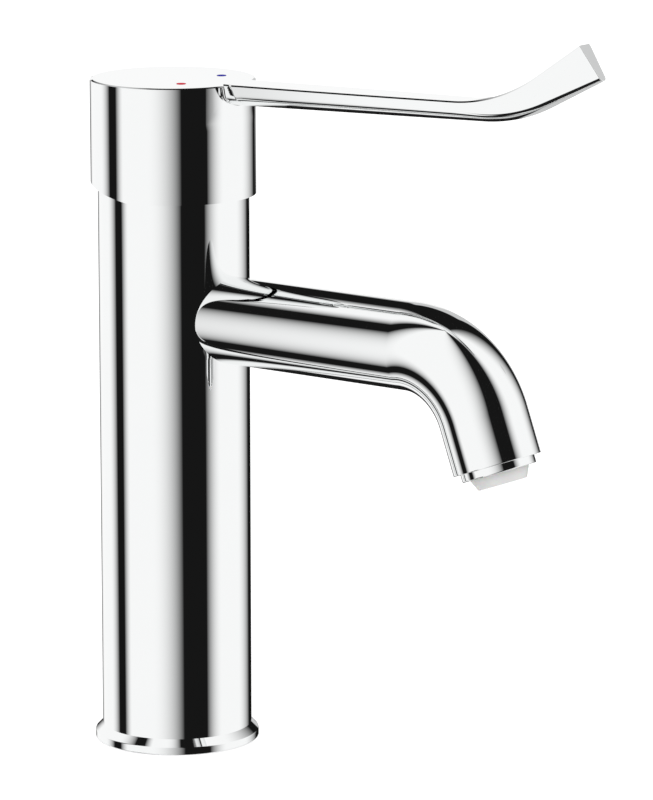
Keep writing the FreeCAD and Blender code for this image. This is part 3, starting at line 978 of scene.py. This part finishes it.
@dataclass
class Lever:
    """The cap and its long blade, as one hollow casting."""

    radius: float = 27.3
    wall: float = 1.2
    rim: float = 184.7
    rim_slant: float = math.radians(10)
    slant_start: float = 2.5
    top: float = 223.0
    rise: float = math.radians(1.47)
    edge: float = 0.55
    edge_steps: int = 4
    crisp_fold: float = 70.0
    crease: float = 24.0
    rim_run: float = 0.6
    rim_drop: float = 0.33
    facet_run: float = 0.3
    facet_drop: float = 0.5
    top_margin: float = 1.6
    ceiling: float = 219.5
    ceiling_gap: float = 1.0
    boss_radius: float = 9.5
    boss_bottom: float = 203.0
    socket_half: float = 5.25
    socket_top: float = 216.0
    access_radius: float = 3.0
    access_height: float = 209.5
    access_window: Span = (5.9, 5.6)
    mark_radius: float = 1.65
    mark_places: tuple[Span, Span] = ((-10.2, -11.8), (13.0, -10.1))
    mark_sides: int = 40
    mark_depth: float = 0.8
    columns: int = 144
    window_columns: int = 22
    plain_rows: tuple[float, ...] = (196.0, 204.0, 206.4, 208.7)
    window_bottom: float = 211.0
    window_rows: int = 5
    patch_rows: int = 4
    fillet: float = 0.7
    fillet_rows: int = 6
    neck_share: float = 0.95
    neck_pinch: float = 0.012
    neck_depth: float = 4.0
    neck_reach: float = 29.05
    neck_slant: float = 0.45
    slant_depth: float = 7.0
    neck_turn: float = 0.9
    neck_step: float = 0.25
    blade_start: float = 34.0
    half_width: float = 7.4
    taper_start: float = 40.0
    taper: float = 0.000246
    tip_taper: float = 0.00038
    bend_start: float = 117.5
    bend_radius: float = 56.6
    tip_angle: float = math.radians(35)
    tip_run: float = 15.3
    keel_height: float = 215.3
    keel_slope: float = math.radians(2)
    keel_bend_start: float = 126.5
    keel_bend_radius: float = 60.0
    keel_tip_angle: float = math.radians(27)
    draft: float = math.radians(5.4)
    corner: float = 2.6
    tip_corner: float = 1.5
    corner_turn: float = math.radians(50)
    tip_corner_turn: float = math.radians(65)
    side_steps: int = 4
    corner_steps: int = 6
    belly_steps: int = 6
    run_steps: int = 12
    bend_steps: int = 28
    tip_steps: int = 4
    halvings: int = 40
    mesh: BMesh = field(default_factory=bmesh.new)

    def places(self) -> list[Vector]:
        """The middles of the marks' pockets on the cap's top, the hot one first."""
        return [Vector((*place, self.top)) for place in self.mark_places]

    def top_at(self, reach: float) -> float:
        """The height of the blade's straight top line at a distance from the tap's axis."""
        return self.top + reach * math.tan(self.rise)

    def rim_at(self, y: float) -> float:
        """The height of the cap's rim at that Y."""
        return self.rim + max(0.0, y + self.slant_start) * math.tan(self.rim_slant)

    def wall_radius(self, height: float) -> float:
        """The cap's radius at a height, with the narrow facet round its top."""
        share = (height - self.top + self.rim_drop) / self.rim_drop
        return self.radius - self.rim_run * min(1.0, max(0.0, share))

    def keel_at(self, reach: float) -> float:
        """The height of the blade's keel.

        Args:
            reach: the distance from the tap's axis.

        Returns:
            The height there.
        """
        first, last = self.keel_slope, self.keel_tip_angle
        if reach <= self.keel_bend_start:
            return self.keel_height + reach * math.tan(first)
        bend_end = self.keel_bend_start + self.keel_bend_radius * (math.sin(last) - math.sin(first))
        along = (min(reach, bend_end) - self.keel_bend_start) / self.keel_bend_radius
        angle = math.asin(math.sin(first) + along)
        height = self.keel_height + self.keel_bend_start * math.tan(first)
        height += self.keel_bend_radius * (math.cos(first) - math.cos(angle))
        return height + max(0.0, reach - bend_end) * math.tan(last)

    def depth_at(self, reach: float, height: float, angle: float) -> float:
        """The blade's depth, square to its top line.

        Args:
            reach: the top line's distance from the tap's axis.
            height: its height.
            angle: its slope there.

        Returns:
            The depth.
        """
        low, high = 0.0, 4 * self.half_width
        for _ in range(self.halvings):
            middle = (low + high) / 2
            below = height - middle * math.cos(angle) < self.keel_at(reach + middle * math.sin(angle))
            low, high = (low, middle) if below else (middle, high)
        return low

    def stations(self) -> list[tuple[float, float, float]]:
        """Says where the blade's sections stand.

        Returns:
            The distance, height and slope of the top line at each.
        """
        straight = evenly(self.blade_start, self.bend_start, self.run_steps)
        places = [(reach, self.top_at(reach), self.rise) for reach in straight]
        for angle in evenly(self.rise, self.tip_angle, self.bend_steps)[1:]:
            reach = self.bend_start + self.bend_radius * (math.sin(angle) - math.sin(self.rise))
            lift = self.bend_radius * (math.cos(self.rise) - math.cos(angle))
            places.append((reach, self.top_at(self.bend_start) + lift, angle))
        reach, height, angle = places[-1]
        for run in evenly(0.0, self.tip_run, self.tip_steps)[1:]:
            places.append((reach + run, height + run * math.tan(angle), angle))
        return places

    def half_width_at(self, reach: float) -> float:
        """Half the width of the blade's top at a distance from the tap's axis."""
        narrowing = self.taper * max(0.0, reach - self.taper_start) ** 2
        return self.half_width - narrowing - self.tip_taper * max(0.0, reach - self.bend_start) ** 2

    def outline(self, half_width: float, depth: float, corner: float, last: float) -> list[Span]:
        """The blade's section from one top edge round its belly to the other.

        A narrow facet leads down to flat sides that lean in a little. A corner of small radius
        follows, and a wide arc closes the section.

        Args:
            half_width: half the width of its top.
            depth: its depth.
            corner: the corner's radius.
            last: the angle up to which the corner turns.

        Returns:
            Points as the distance across and the depth down.
        """
        first = self.draft
        corner_rise = corner * (math.sin(last) - math.sin(first))
        corner_run = corner * (math.cos(first) - math.cos(last))
        belly_slope = (1 - math.sin(last)) / math.cos(last)
        width = half_width - corner_run
        side_depth = (depth - corner_rise - width * belly_slope) / (1 - math.tan(first) * belly_slope)
        shoulder = half_width - side_depth * math.tan(first)
        belly = (shoulder - corner_run) / math.cos(last)
        half = [(half_width - self.facet_run, 0.0)]
        half += zip(evenly(half_width, shoulder, self.side_steps)[:-1],
                    evenly(self.facet_drop, side_depth, self.side_steps)[:-1])
        for turn in evenly(first, last, self.corner_steps)[:-1]:
            half.append((shoulder - corner * (math.cos(first) - math.cos(turn)),
                         side_depth + corner * (math.sin(turn) - math.sin(first))))
        for turn in evenly(last, math.pi / 2, self.belly_steps):
            half.append((belly * math.cos(turn), depth - belly * (1 - math.sin(turn))))
        left = [(-across, down) for across, down in half]
        return left + half[-2::-1]

    def section(self, reach: float, height: float, angle: float, tip_reach: float) -> list[Vector]:
        """The blade's section as points in space.

        Args:
            reach: the top line's distance from the tap's axis.
            height: its height.
            angle: its slope there.
            tip_reach: the blade's full reach.

        Returns:
            The points, from the hot side's top edge to the cold side's.
        """
        share = max(0.0, reach - self.bend_start) / (tip_reach - self.bend_start)
        corner = self.corner + (self.tip_corner - self.corner) * share
        last = self.corner_turn + (self.tip_corner_turn - self.corner_turn) * share
        down = Vector((0, -math.sin(angle), -math.cos(angle)))
        origin = Vector((0, -reach, height))
        outline = self.outline(self.half_width_at(reach), self.depth_at(reach, height, angle), corner, last)
        return [origin + SIDE * across + down * drop for across, drop in outline]

    def root_chains(self, section: list[Vector]) -> list[list[Vector]]:
        """The neck between the cap's wall and the blade: its rounding, and its turn into the blade.

        Args:
            section: the blade's section at its root.

        Returns:
            Chains of points from the cap's wall out to the blade.
        """
        crown = section[0].z
        depth = crown - min(point.z for point in section)
        drops = [crown - point.z for point in section]
        shares = [self.neck_share - self.neck_pinch * min(drop, self.neck_depth) for drop in drops]
        neck = [Vector((point.x * share, 0, point.z)) for point, share in zip(section, shares)]
        chains = []
        sunk = crown - self.top
        for share in evenly(0.0, 1.0, self.fillet_rows):
            chain = []
            for point, normal, drop in zip(neck, self.section_normals(neck), drops):
                centre = Vector((point.x, 0, point.z)) + normal * self.fillet
                centre.y = -math.sqrt((self.wall_radius(self.top - drop) + self.fillet) ** 2 - centre.x ** 2)
                to_wall = -Vector((centre.x, centre.y, 0)).normalized()
                place = centre + to_wall.slerp(-normal, share) * self.fillet
                chain.append(place - UP * sunk * (1 - drop / depth))
            chains.append(chain)
        start = [end.y - self.neck_step for end in chains[-1]]
        chains.append([Vector((point.x, y, point.z)) for point, y in zip(neck, start)])
        slant = [-self.neck_reach - self.neck_slant * min(drop, self.slant_depth) for drop in drops]
        turned = self.neck_turn + self.neck_step
        for turn, row in ((-self.neck_step, neck), (0.0, neck), (self.neck_turn, section), (turned, section)):
            chains.append([Vector((point.x, y - turn, point.z)) for point, y in zip(row, slant)])
        return chains

    def section_normals(self, section: list[Vector]) -> list[Vector]:
        """The directions in which the blade's root section faces, level at the two points next to each end.

        Args:
            section: the section's points, from the hot side's top edge to the cold side's.

        Returns:
            A direction for each point.
        """
        runs = [(after - before).normalized() for before, after in zip(section, section[2:])]
        middle = [Vector((run.z, 0, -run.x)) for run in runs[1:-1]]
        return [-SIDE, -SIDE, *middle, SIDE, SIDE]

    def wall_rows(self) -> list[float]:
        """The heights of the wall's rows of vertices."""
        upper = evenly(self.window_bottom, self.top, self.window_rows)[:-1]
        return [self.rim, *self.plain_rows, *upper, self.top - self.rim_drop, self.top]

    def build(self) -> None:
        """Builds the casting."""
        self.draw_wall()
        tip = self.draw_blade()
        self.close_top()
        face_outwards(self.mesh)
        bmesh.ops.contextual_create(self.mesh, geom=chain_edges(self.mesh, tip, closed=True))
        face_outwards(self.mesh)
        crisp = fold_edges(self.mesh, lambda middle: middle.z > self.window_bottom, self.crisp_fold)
        round_edges(self.mesh, crisp, self.edge, self.edge_steps)
        self.sink_pockets()
        self.draw_cavity()
        publish(self.mesh, "lever_casting", "control_lever", Slot.CHROME, Body.LEVER, self.crease)

    def draw_wall(self) -> None:
        """Draws the cap's outer wall, with its slanted rim."""
        outline = [(self.wall_radius(height), height) for height in self.wall_rows()]
        spin_outline(self.mesh, outline, self.columns, closed=False)
        for vert in self.mesh.verts:
            if vert.co.z < self.rim + TOUCH:
                vert.co.z = self.rim_at(vert.co.y)

    def window_edge(self) -> Chain:
        """Takes the blade's window out of the wall.

        Returns:
            The window's edge, down on the hot side, across, and up on the cold side.
        """
        half = math.pi * self.window_columns / self.columns
        faces = [face for face in self.mesh.faces if face.calc_center_median().z > self.window_bottom
                 and abs(self.azimuth(face.calc_center_median())) < half]
        chosen = set(faces)
        edge_verts = {vert for face in faces for vert in face.verts
                      if any(other not in chosen for other in vert.link_faces)}
        bmesh.ops.delete(self.mesh, geom=faces, context="FACES")
        limit = half - math.pi / self.columns
        hot = {vert for vert in edge_verts if self.azimuth(vert.co) < -limit}
        cold = {vert for vert in edge_verts if self.azimuth(vert.co) > limit}
        across = sorted(edge_verts - hot - cold, key=lambda vert: vert.co.x)
        downwards = sorted(hot, key=lambda vert: -vert.co.z)
        return downwards + across + sorted(cold, key=lambda vert: vert.co.z)

    @staticmethod
    def azimuth(place: Vector) -> float:
        """The angle of a place about the tap's axis, from the front towards the cold side."""
        return math.atan2(place.x, -place.y)

    def draw_blade(self) -> Chain:
        """Draws the patch of wall round the blade's root, the rounding and the blade.

        Returns:
            The tip's edge.
        """
        chain = self.window_edge()
        stations = self.stations()
        tip_reach = stations[-1][0]
        sections = [self.section(*station, tip_reach) for station in stations]
        root_section = self.section(self.neck_reach, self.top_at(self.neck_reach), self.rise, tip_reach)
        root = self.root_chains(root_section)
        rows = self.patch_chains([vert.co.copy() for vert in chain], root[0]) + root + sections
        hot_edge, cold_edge = [chain[0]], [chain[-1]]
        for row in rows:
            chain = ordered_copy(self.mesh, chain)
            for vert, place in zip(chain, row):
                vert.co = place
            hot_edge.append(chain[0])
            cold_edge.append(chain[-1])
        seams = chain_edges(self.mesh, hot_edge) + chain_edges(self.mesh, cold_edge)
        bmesh.ops.bridge_loops(self.mesh, edges=seams)
        return chain

    def patch_chains(self, outer: list[Vector], inner: list[Vector]) -> list[list[Vector]]:
        """Chains on the cap's wall between the window's edge and the rounding.

        Args:
            outer: the window's edge.
            inner: the rounding's edge.

        Returns:
            The chains between them.
        """
        chains = []
        for row in evenly(0.0, 1.0, self.patch_rows + 1)[1:-1]:
            share = 1 - (1 - row) ** 2
            chain = []
            for far, near in zip(outer, inner):
                x = far.x + (near.x - far.x) * share
                z = far.z + (near.z - far.z) * share
                chain.append(Vector((x, -math.sqrt(self.wall_radius(z) ** 2 - x ** 2), z)))
            chains.append(chain)
        return chains

    def close_top(self) -> None:
        """Fills the cap's flat top, all but the two pockets of the marks."""
        edges = open_edges(self.mesh, lambda place: abs(place.z - self.top) < TOUCH)
        for place in self.places():
            edges += draw_circle(self.mesh, self.mark_sides, self.mark_radius, place)
        made = bmesh.ops.triangle_fill(self.mesh, use_beauty=True, use_dissolve=False, edges=edges, normal=UP)
        bmesh.ops.inset_region(self.mesh, faces=of_kind(made["geom"], BMFace), thickness=self.top_margin,
                               use_boundary=True, use_even_offset=True)

    def sink_pockets(self) -> None:
        """Gives the marks' pockets their walls and floors."""
        for middle in self.places():
            mouth = open_edges(self.mesh, lambda place: (place - middle).length < self.mark_radius + NEAR)
            made = bmesh.ops.extrude_edge_only(self.mesh, edges=mouth)["geom"]
            bmesh.ops.translate(self.mesh, verts=of_kind(made, BMVert), vec=UP * -self.mark_depth)
            floor = [edge for edge in of_kind(made, BMEdge) if edge.is_boundary]
            bmesh.ops.contextual_create(self.mesh, geom=floor)

    def draw_cavity(self) -> None:
        """Draws the cap's inside: its wall, the boss with its square socket, and the screw's hole."""
        mesh, inner = self.mesh, self.radius - self.wall
        outer_rim = open_edges(mesh, lambda place: True)
        top_row = self.ceiling - self.ceiling_gap
        rows = [height for height in self.wall_rows() if height < top_row] + [self.ceiling]
        before = set(mesh.edges)
        spin_outline(mesh, [(inner, height) for height in rows], self.columns, closed=False)
        fresh = [edge for edge in mesh.edges if edge not in before and edge.is_boundary]
        lower = [edge for edge in fresh if edge.verts[0].co.z < top_row]
        for vert in {vert for edge in lower for vert in edge.verts}:
            vert.co.z = self.rim_at(vert.co.y)
        bmesh.ops.bridge_loops(mesh, edges=outer_rim + lower)
        ring = walk_round({vert for edge in fresh if edge not in lower for vert in edge.verts})
        for place in (
            lambda at: Vector((*at.xy * (self.boss_radius / inner), at.z)),
            lambda at: Vector((*at.xy, self.boss_bottom)),
            lambda at: Vector((*at.xy * (self.socket_half / max(abs(at.x), abs(at.y))), at.z)),
            lambda at: Vector((*at.xy, self.socket_top)),
        ):
            ring = next_ring(mesh, ring, place)
        bmesh.ops.contextual_create(mesh, geom=chain_edges(mesh, ring, closed=True))
        windows = [WallWindow(mesh, radius, BACK, self.access_height) for radius in (self.radius, inner)]
        join_rings(mesh, *(window.cut(*self.access_window, self.access_radius) for window in windows))


@dataclass
class IndexMark:
    """A small coloured disc let into the cap's top, which stands a little proud of it."""

    name: str
    node: str
    slot: Slot
    place: Vector
    radius: float = 1.55
    depth: float = 0.92
    proud: float = 0.12
    edge: float = 0.1
    steps: int = 48

    def build(self) -> None:
        """Builds the disc."""
        mesh = bmesh.new()
        face = self.place + UP * self.proud
        bmesh.ops.contextual_create(mesh, geom=draw_circle(mesh, self.steps, self.radius, face))
        made = bmesh.ops.extrude_face_region(mesh, geom=mesh.faces[:])["geom"]
        bmesh.ops.translate(mesh, verts=of_kind(made, BMVert), vec=UP * -self.depth)
        face_outwards(mesh)
        round_edges(mesh, fold_edges(mesh, lambda middle: middle.z > face.z - TOUCH), self.edge)
        publish(mesh, self.name, self.node, self.slot, Body.LEVER)


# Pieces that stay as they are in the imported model

def dress_inner_pieces() -> None:
    """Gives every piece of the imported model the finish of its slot."""
    for part in frame["record"]["subparts"]:
        data = frame["nodes"][part["node"]].data
        data.materials.clear()
        data.materials.append(material_of(Slot(part["material_slot"])))
        log.info("%s: dressed in %s", part["node"], part["material_slot"])


# Studio

class Bearings:
    """Where a ray from the metal goes, in degrees: its bearing round the tap, and its height.

    Bearings run from 0 at the photograph's right over 90 at the camera and 180 at the left to 270
    behind the tap.
    """

    right = (0.588, -0.809, 0.0)
    toward = (-0.809, -0.588, 0.0)

    def __init__(self, sheet: NodeSheet) -> None:
        """Works both out from the ray's direction.

        Args:
            sheet: the world's node tree.
        """
        self.sheet = sheet
        self.ray = sheet.add("ShaderNodeTexCoord").outputs["Generated"]
        turn = sheet.calculate("ARCTAN2", self.along(self.toward), self.along(self.right))
        self.bearing = sheet.calculate("WRAP", sheet.calculate("DEGREES", turn), 360.0, 0.0)
        self.height = sheet.calculate("DEGREES", sheet.calculate("ARCSINE", self.along(UP)))

    def along(self, axis: Sequence[float]) -> Socket:
        """Works out how much of the ray goes along an axis.

        Args:
            axis: the axis, one long.

        Returns:
            The share, from -1 to 1.
        """
        dot = self.sheet.add("ShaderNodeVectorMath")
        dot.operation = "DOT_PRODUCT"
        dot.inputs[1].default_value = tuple(axis)
        self.sheet.link(self.ray, dot.inputs[0])
        return dot.outputs["Value"]

    def leaning(self, lean: float) -> Socket:
        """The bearing as seen from an edge that leans by so many degrees for each degree of height."""
        shift = self.sheet.calculate("MULTIPLY", self.height, lean)
        return self.sheet.calculate("SUBTRACT", self.bearing, shift)


@dataclass(frozen=True)
class CardEdge:
    """One upright edge of a black card: black at the edge, and fading out beyond it."""

    bearing: float
    fade: float
    power: float
    lean: float = 0.0

    def darkness(self, bearings: Bearings) -> Socket:
        """How dark this edge leaves the ray, from 0 to 1.

        Args:
            bearings: where the ray goes.

        Returns:
            The darkness.
        """
        sheet = bearings.sheet
        depth = sheet.remap(bearings.leaning(self.lean), self.bearing + self.fade, self.bearing)
        return sheet.calculate("POWER", depth, self.power)


@dataclass(frozen=True)
class BlackCard:
    """A tall black card beside the tap, which the metal shows as a dark upright band."""

    first: CardEdge
    last: CardEdge

    def darkness(self, bearings: Bearings) -> Socket:
        """How dark the card leaves the ray, from 0 to 1."""
        edges = (self.first.darkness(bearings), self.last.darkness(bearings))
        return bearings.sheet.calculate("MINIMUM", *edges)


@dataclass(frozen=True)
class Patch:
    """A patch of the studio between two bearings and two heights, with soft edges."""

    first: float
    last: float
    low: float
    high: float
    level: float
    soft: float = 1.5

    def band(self, sheet: NodeSheet, value: Socket, first: float, last: float) -> Socket:
        """Gives 1 for a value inside a range, fading to 0 over the patch's soft edge outside it."""
        rise = sheet.remap(value, first - self.soft, first)
        return sheet.calculate("MINIMUM", rise, sheet.remap(value, last + self.soft, last))

    def lay_over(self, bearings: Bearings, light: Socket) -> Socket:
        """Lays the patch over the light that is there without it.

        Args:
            bearings: where the ray goes.
            light: the light without the patch.

        Returns:
            The light with it.
        """
        sheet = bearings.sheet
        sides = self.band(sheet, bearings.bearing, self.first, self.last)
        ends = self.band(sheet, bearings.height, self.low, self.high)
        cover = sheet.calculate("MULTIPLY", sides, ends)
        rest = sheet.calculate("MULTIPLY", light, sheet.rest_of(cover))
        return sheet.calculate("ADD", rest, sheet.calculate("MULTIPLY", cover, self.level))


@dataclass(frozen=True)
class Lamp:
    """A soft square lamp that is turned to the tap, and that the metal doesn't show."""

    name: str
    place: tuple[float, float, float]
    power: float
    size: float = 1.6
    target: tuple[float, float, float] = (0.0, 0.0, 0.1)

    def hang(self) -> None:
        """Hangs the lamp."""
        light = bpy.data.lights.new(self.name, "AREA")
        light.size = self.size
        light.energy = self.power
        lamp = add_object(self.name, light)
        lamp.location = self.place
        aim = Vector(self.target) - Vector(self.place)
        lamp.rotation_euler = aim.to_track_quat("-Z", "Y").to_euler()
        lamp.visible_glossy = False
        lamp.visible_camera = False


@dataclass
class Studio:
    """The pale floor, the soft lights and what the polished metal reflects."""

    floor_radius: float = 4.0
    floor_sides: int = 64
    floor_drop: float = 0.0002
    floor_colour: float = 0.9
    floor_glow: float = 0.5
    room_level: float = 0.75
    black: float = 0.0085
    cards: tuple[BlackCard, ...] = (
        BlackCard(CardEdge(39.5, -27.0, 1.8), CardEdge(75.5, 50.0, 2.2)),
        BlackCard(CardEdge(173.0, -13.0, 1.5, lean=-0.1), CardEdge(185.6, 21.0, 2.0, lean=-0.1)),
        BlackCard(CardEdge(255.0, -15.0, 1.1, lean=-0.13), CardEdge(300.0, 38.0, 1.6, lean=0.12)),
    )
    patches: tuple[Patch, ...] = (
        Patch(268.0, 287.0, -8.0, 30.0, 0.6),
        Patch(256.0, 275.0, -2.0, 14.0, 0.99),
        Patch(134.0, 158.0, -82.0, -24.0, 0.012),
        Patch(158.0, 176.0, -60.0, -41.0, 0.012),
        Patch(250.0, 271.0, -55.0, -19.0, 0.012),
        Patch(274.0, 300.0, -88.0, -19.0, 0.6),
        Patch(325.5, 329.5, 27.0, 30.5, 0.64),
    )
    lamps: tuple[Lamp, ...] = (
        Lamp("key_lamp", (-1.6, -1.2, 2.0), 10.5),
        Lamp("fill_lamp", (1.8, -0.8, 1.6), 5.2),
    )

    def build(self) -> None:
        """Builds the floor, the lamps and the surroundings."""
        self.lay_floor()
        for lamp in self.lamps:
            lamp.hang()
        self.light_world()

    def lay_floor(self) -> None:
        """Lays the floor, which is white to the camera and takes the tap's shadow."""
        mesh = bmesh.new()
        bmesh.ops.create_circle(mesh, segments=self.floor_sides, radius=self.floor_radius, cap_ends=True,
                                matrix=Matrix.Translation((0, 0, -self.floor_drop)))
        data = bpy.data.meshes.new("floor")
        mesh.to_mesh(data)
        mesh.free()
        sheet = NodeSheet(bpy.data.materials.new("pale_floor"))
        matt = sheet.add("ShaderNodeBsdfDiffuse", Color=(*[self.floor_colour] * 3, 1.0))
        glow = sheet.add("ShaderNodeEmission", Strength=self.floor_glow)
        path = sheet.add("ShaderNodeLightPath")
        seen = sheet.add("ShaderNodeMixShader")
        both = sheet.add("ShaderNodeAddShader")
        output = sheet.add("ShaderNodeOutputMaterial")
        for source, target in (
            (matt.outputs[0], both.inputs[0]),
            (glow.outputs[0], both.inputs[1]),
            (path.outputs["Is Camera Ray"], seen.inputs["Fac"]),
            (matt.outputs[0], seen.inputs[1]),
            (both.outputs[0], seen.inputs[2]),
            (seen.outputs[0], output.inputs["Surface"]),
        ):
            sheet.link(source, target)
        data.materials.append(sheet.owner)
        floor = add_object("floor", data)
        floor.visible_glossy = False

    def light_world(self) -> None:
        """Sets the white surroundings, with the black cards that only the metal shows."""
        sheet = NodeSheet(bpy.data.worlds.new("studio"))
        bearings = Bearings(sheet)
        first, *others = self.cards
        light = sheet.rest_of(first.darkness(bearings))
        for card in others:
            light = sheet.calculate("MULTIPLY", light, sheet.rest_of(card.darkness(bearings)))
        for patch in self.patches:
            light = patch.lay_over(bearings, light)
        path = sheet.add("ShaderNodeLightPath")
        glossy = path.outputs["Is Glossy Ray"]
        shown = sheet.calculate("MULTIPLY", glossy, sheet.calculate("MAXIMUM", light, self.black))
        plain = sheet.calculate("MULTIPLY", sheet.rest_of(glossy), self.room_level)
        both = sheet.calculate("ADD", shown, plain)
        strength = sheet.calculate("MAXIMUM", path.outputs["Is Camera Ray"], both)
        background = sheet.add("ShaderNodeBackground", Color=(1.0, 1.0, 1.0, 1.0))
        output = sheet.add("ShaderNodeOutputWorld")
        sheet.link(strength, background.inputs["Strength"])
        sheet.link(background.outputs[0], output.inputs["Surface"])
        bpy.context.scene.world = sheet.owner


@dataclass
class PhotoCamera:
    """The camera at the photograph's place and angle."""

    place: tuple[float, float, float] = (-1.2879, -1.0501, 0.4551)
    forward: tuple[float, float, float] = (0.77767, 0.59576, -0.20075)
    up: tuple[float, float, float] = (0.16002, 0.12123, 0.97964)
    lens: float = 229.3
    sensor_width: float = 36.0
    far_limit: float = 20.0

    def build(self) -> None:
        """Sets up the camera and makes it the scene's."""
        data = bpy.data.cameras.new("photo_camera")
        data.lens = self.lens
        data.sensor_width = self.sensor_width
        data.clip_end = self.far_limit
        camera = add_object("photo_camera", data)
        back = -Vector(self.forward).normalized()
        right = Vector(self.up).cross(back).normalized()
        up = back.cross(right)
        turn = Matrix((right, up, back)).transposed().to_4x4()
        camera.matrix_world = Matrix.Translation(self.place) @ turn
        bpy.context.scene.camera = camera


def main() -> None:
    """Builds the tap and its studio."""
    logging.basicConfig(level=logging.INFO)
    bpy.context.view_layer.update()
    bpy.context.scene.view_settings.view_transform = "Standard"
    dress_inner_pieces()
    spout, lever = Spout(), Lever()
    hot_place, cold_place = lever.places()
    for shell in (
        Base(),
        Column(),
        spout,
        Aerator(spout.outlet()),
        lever,
        IndexMark("hot_disc", "hot_mark", Slot.HOT, hot_place),
        IndexMark("cold_disc", "cold_mark", Slot.COLD, cold_place),
    ):
        shell.build()
    Studio().build()
    PhotoCamera().build()


if __name__ == "__main__":
    main()
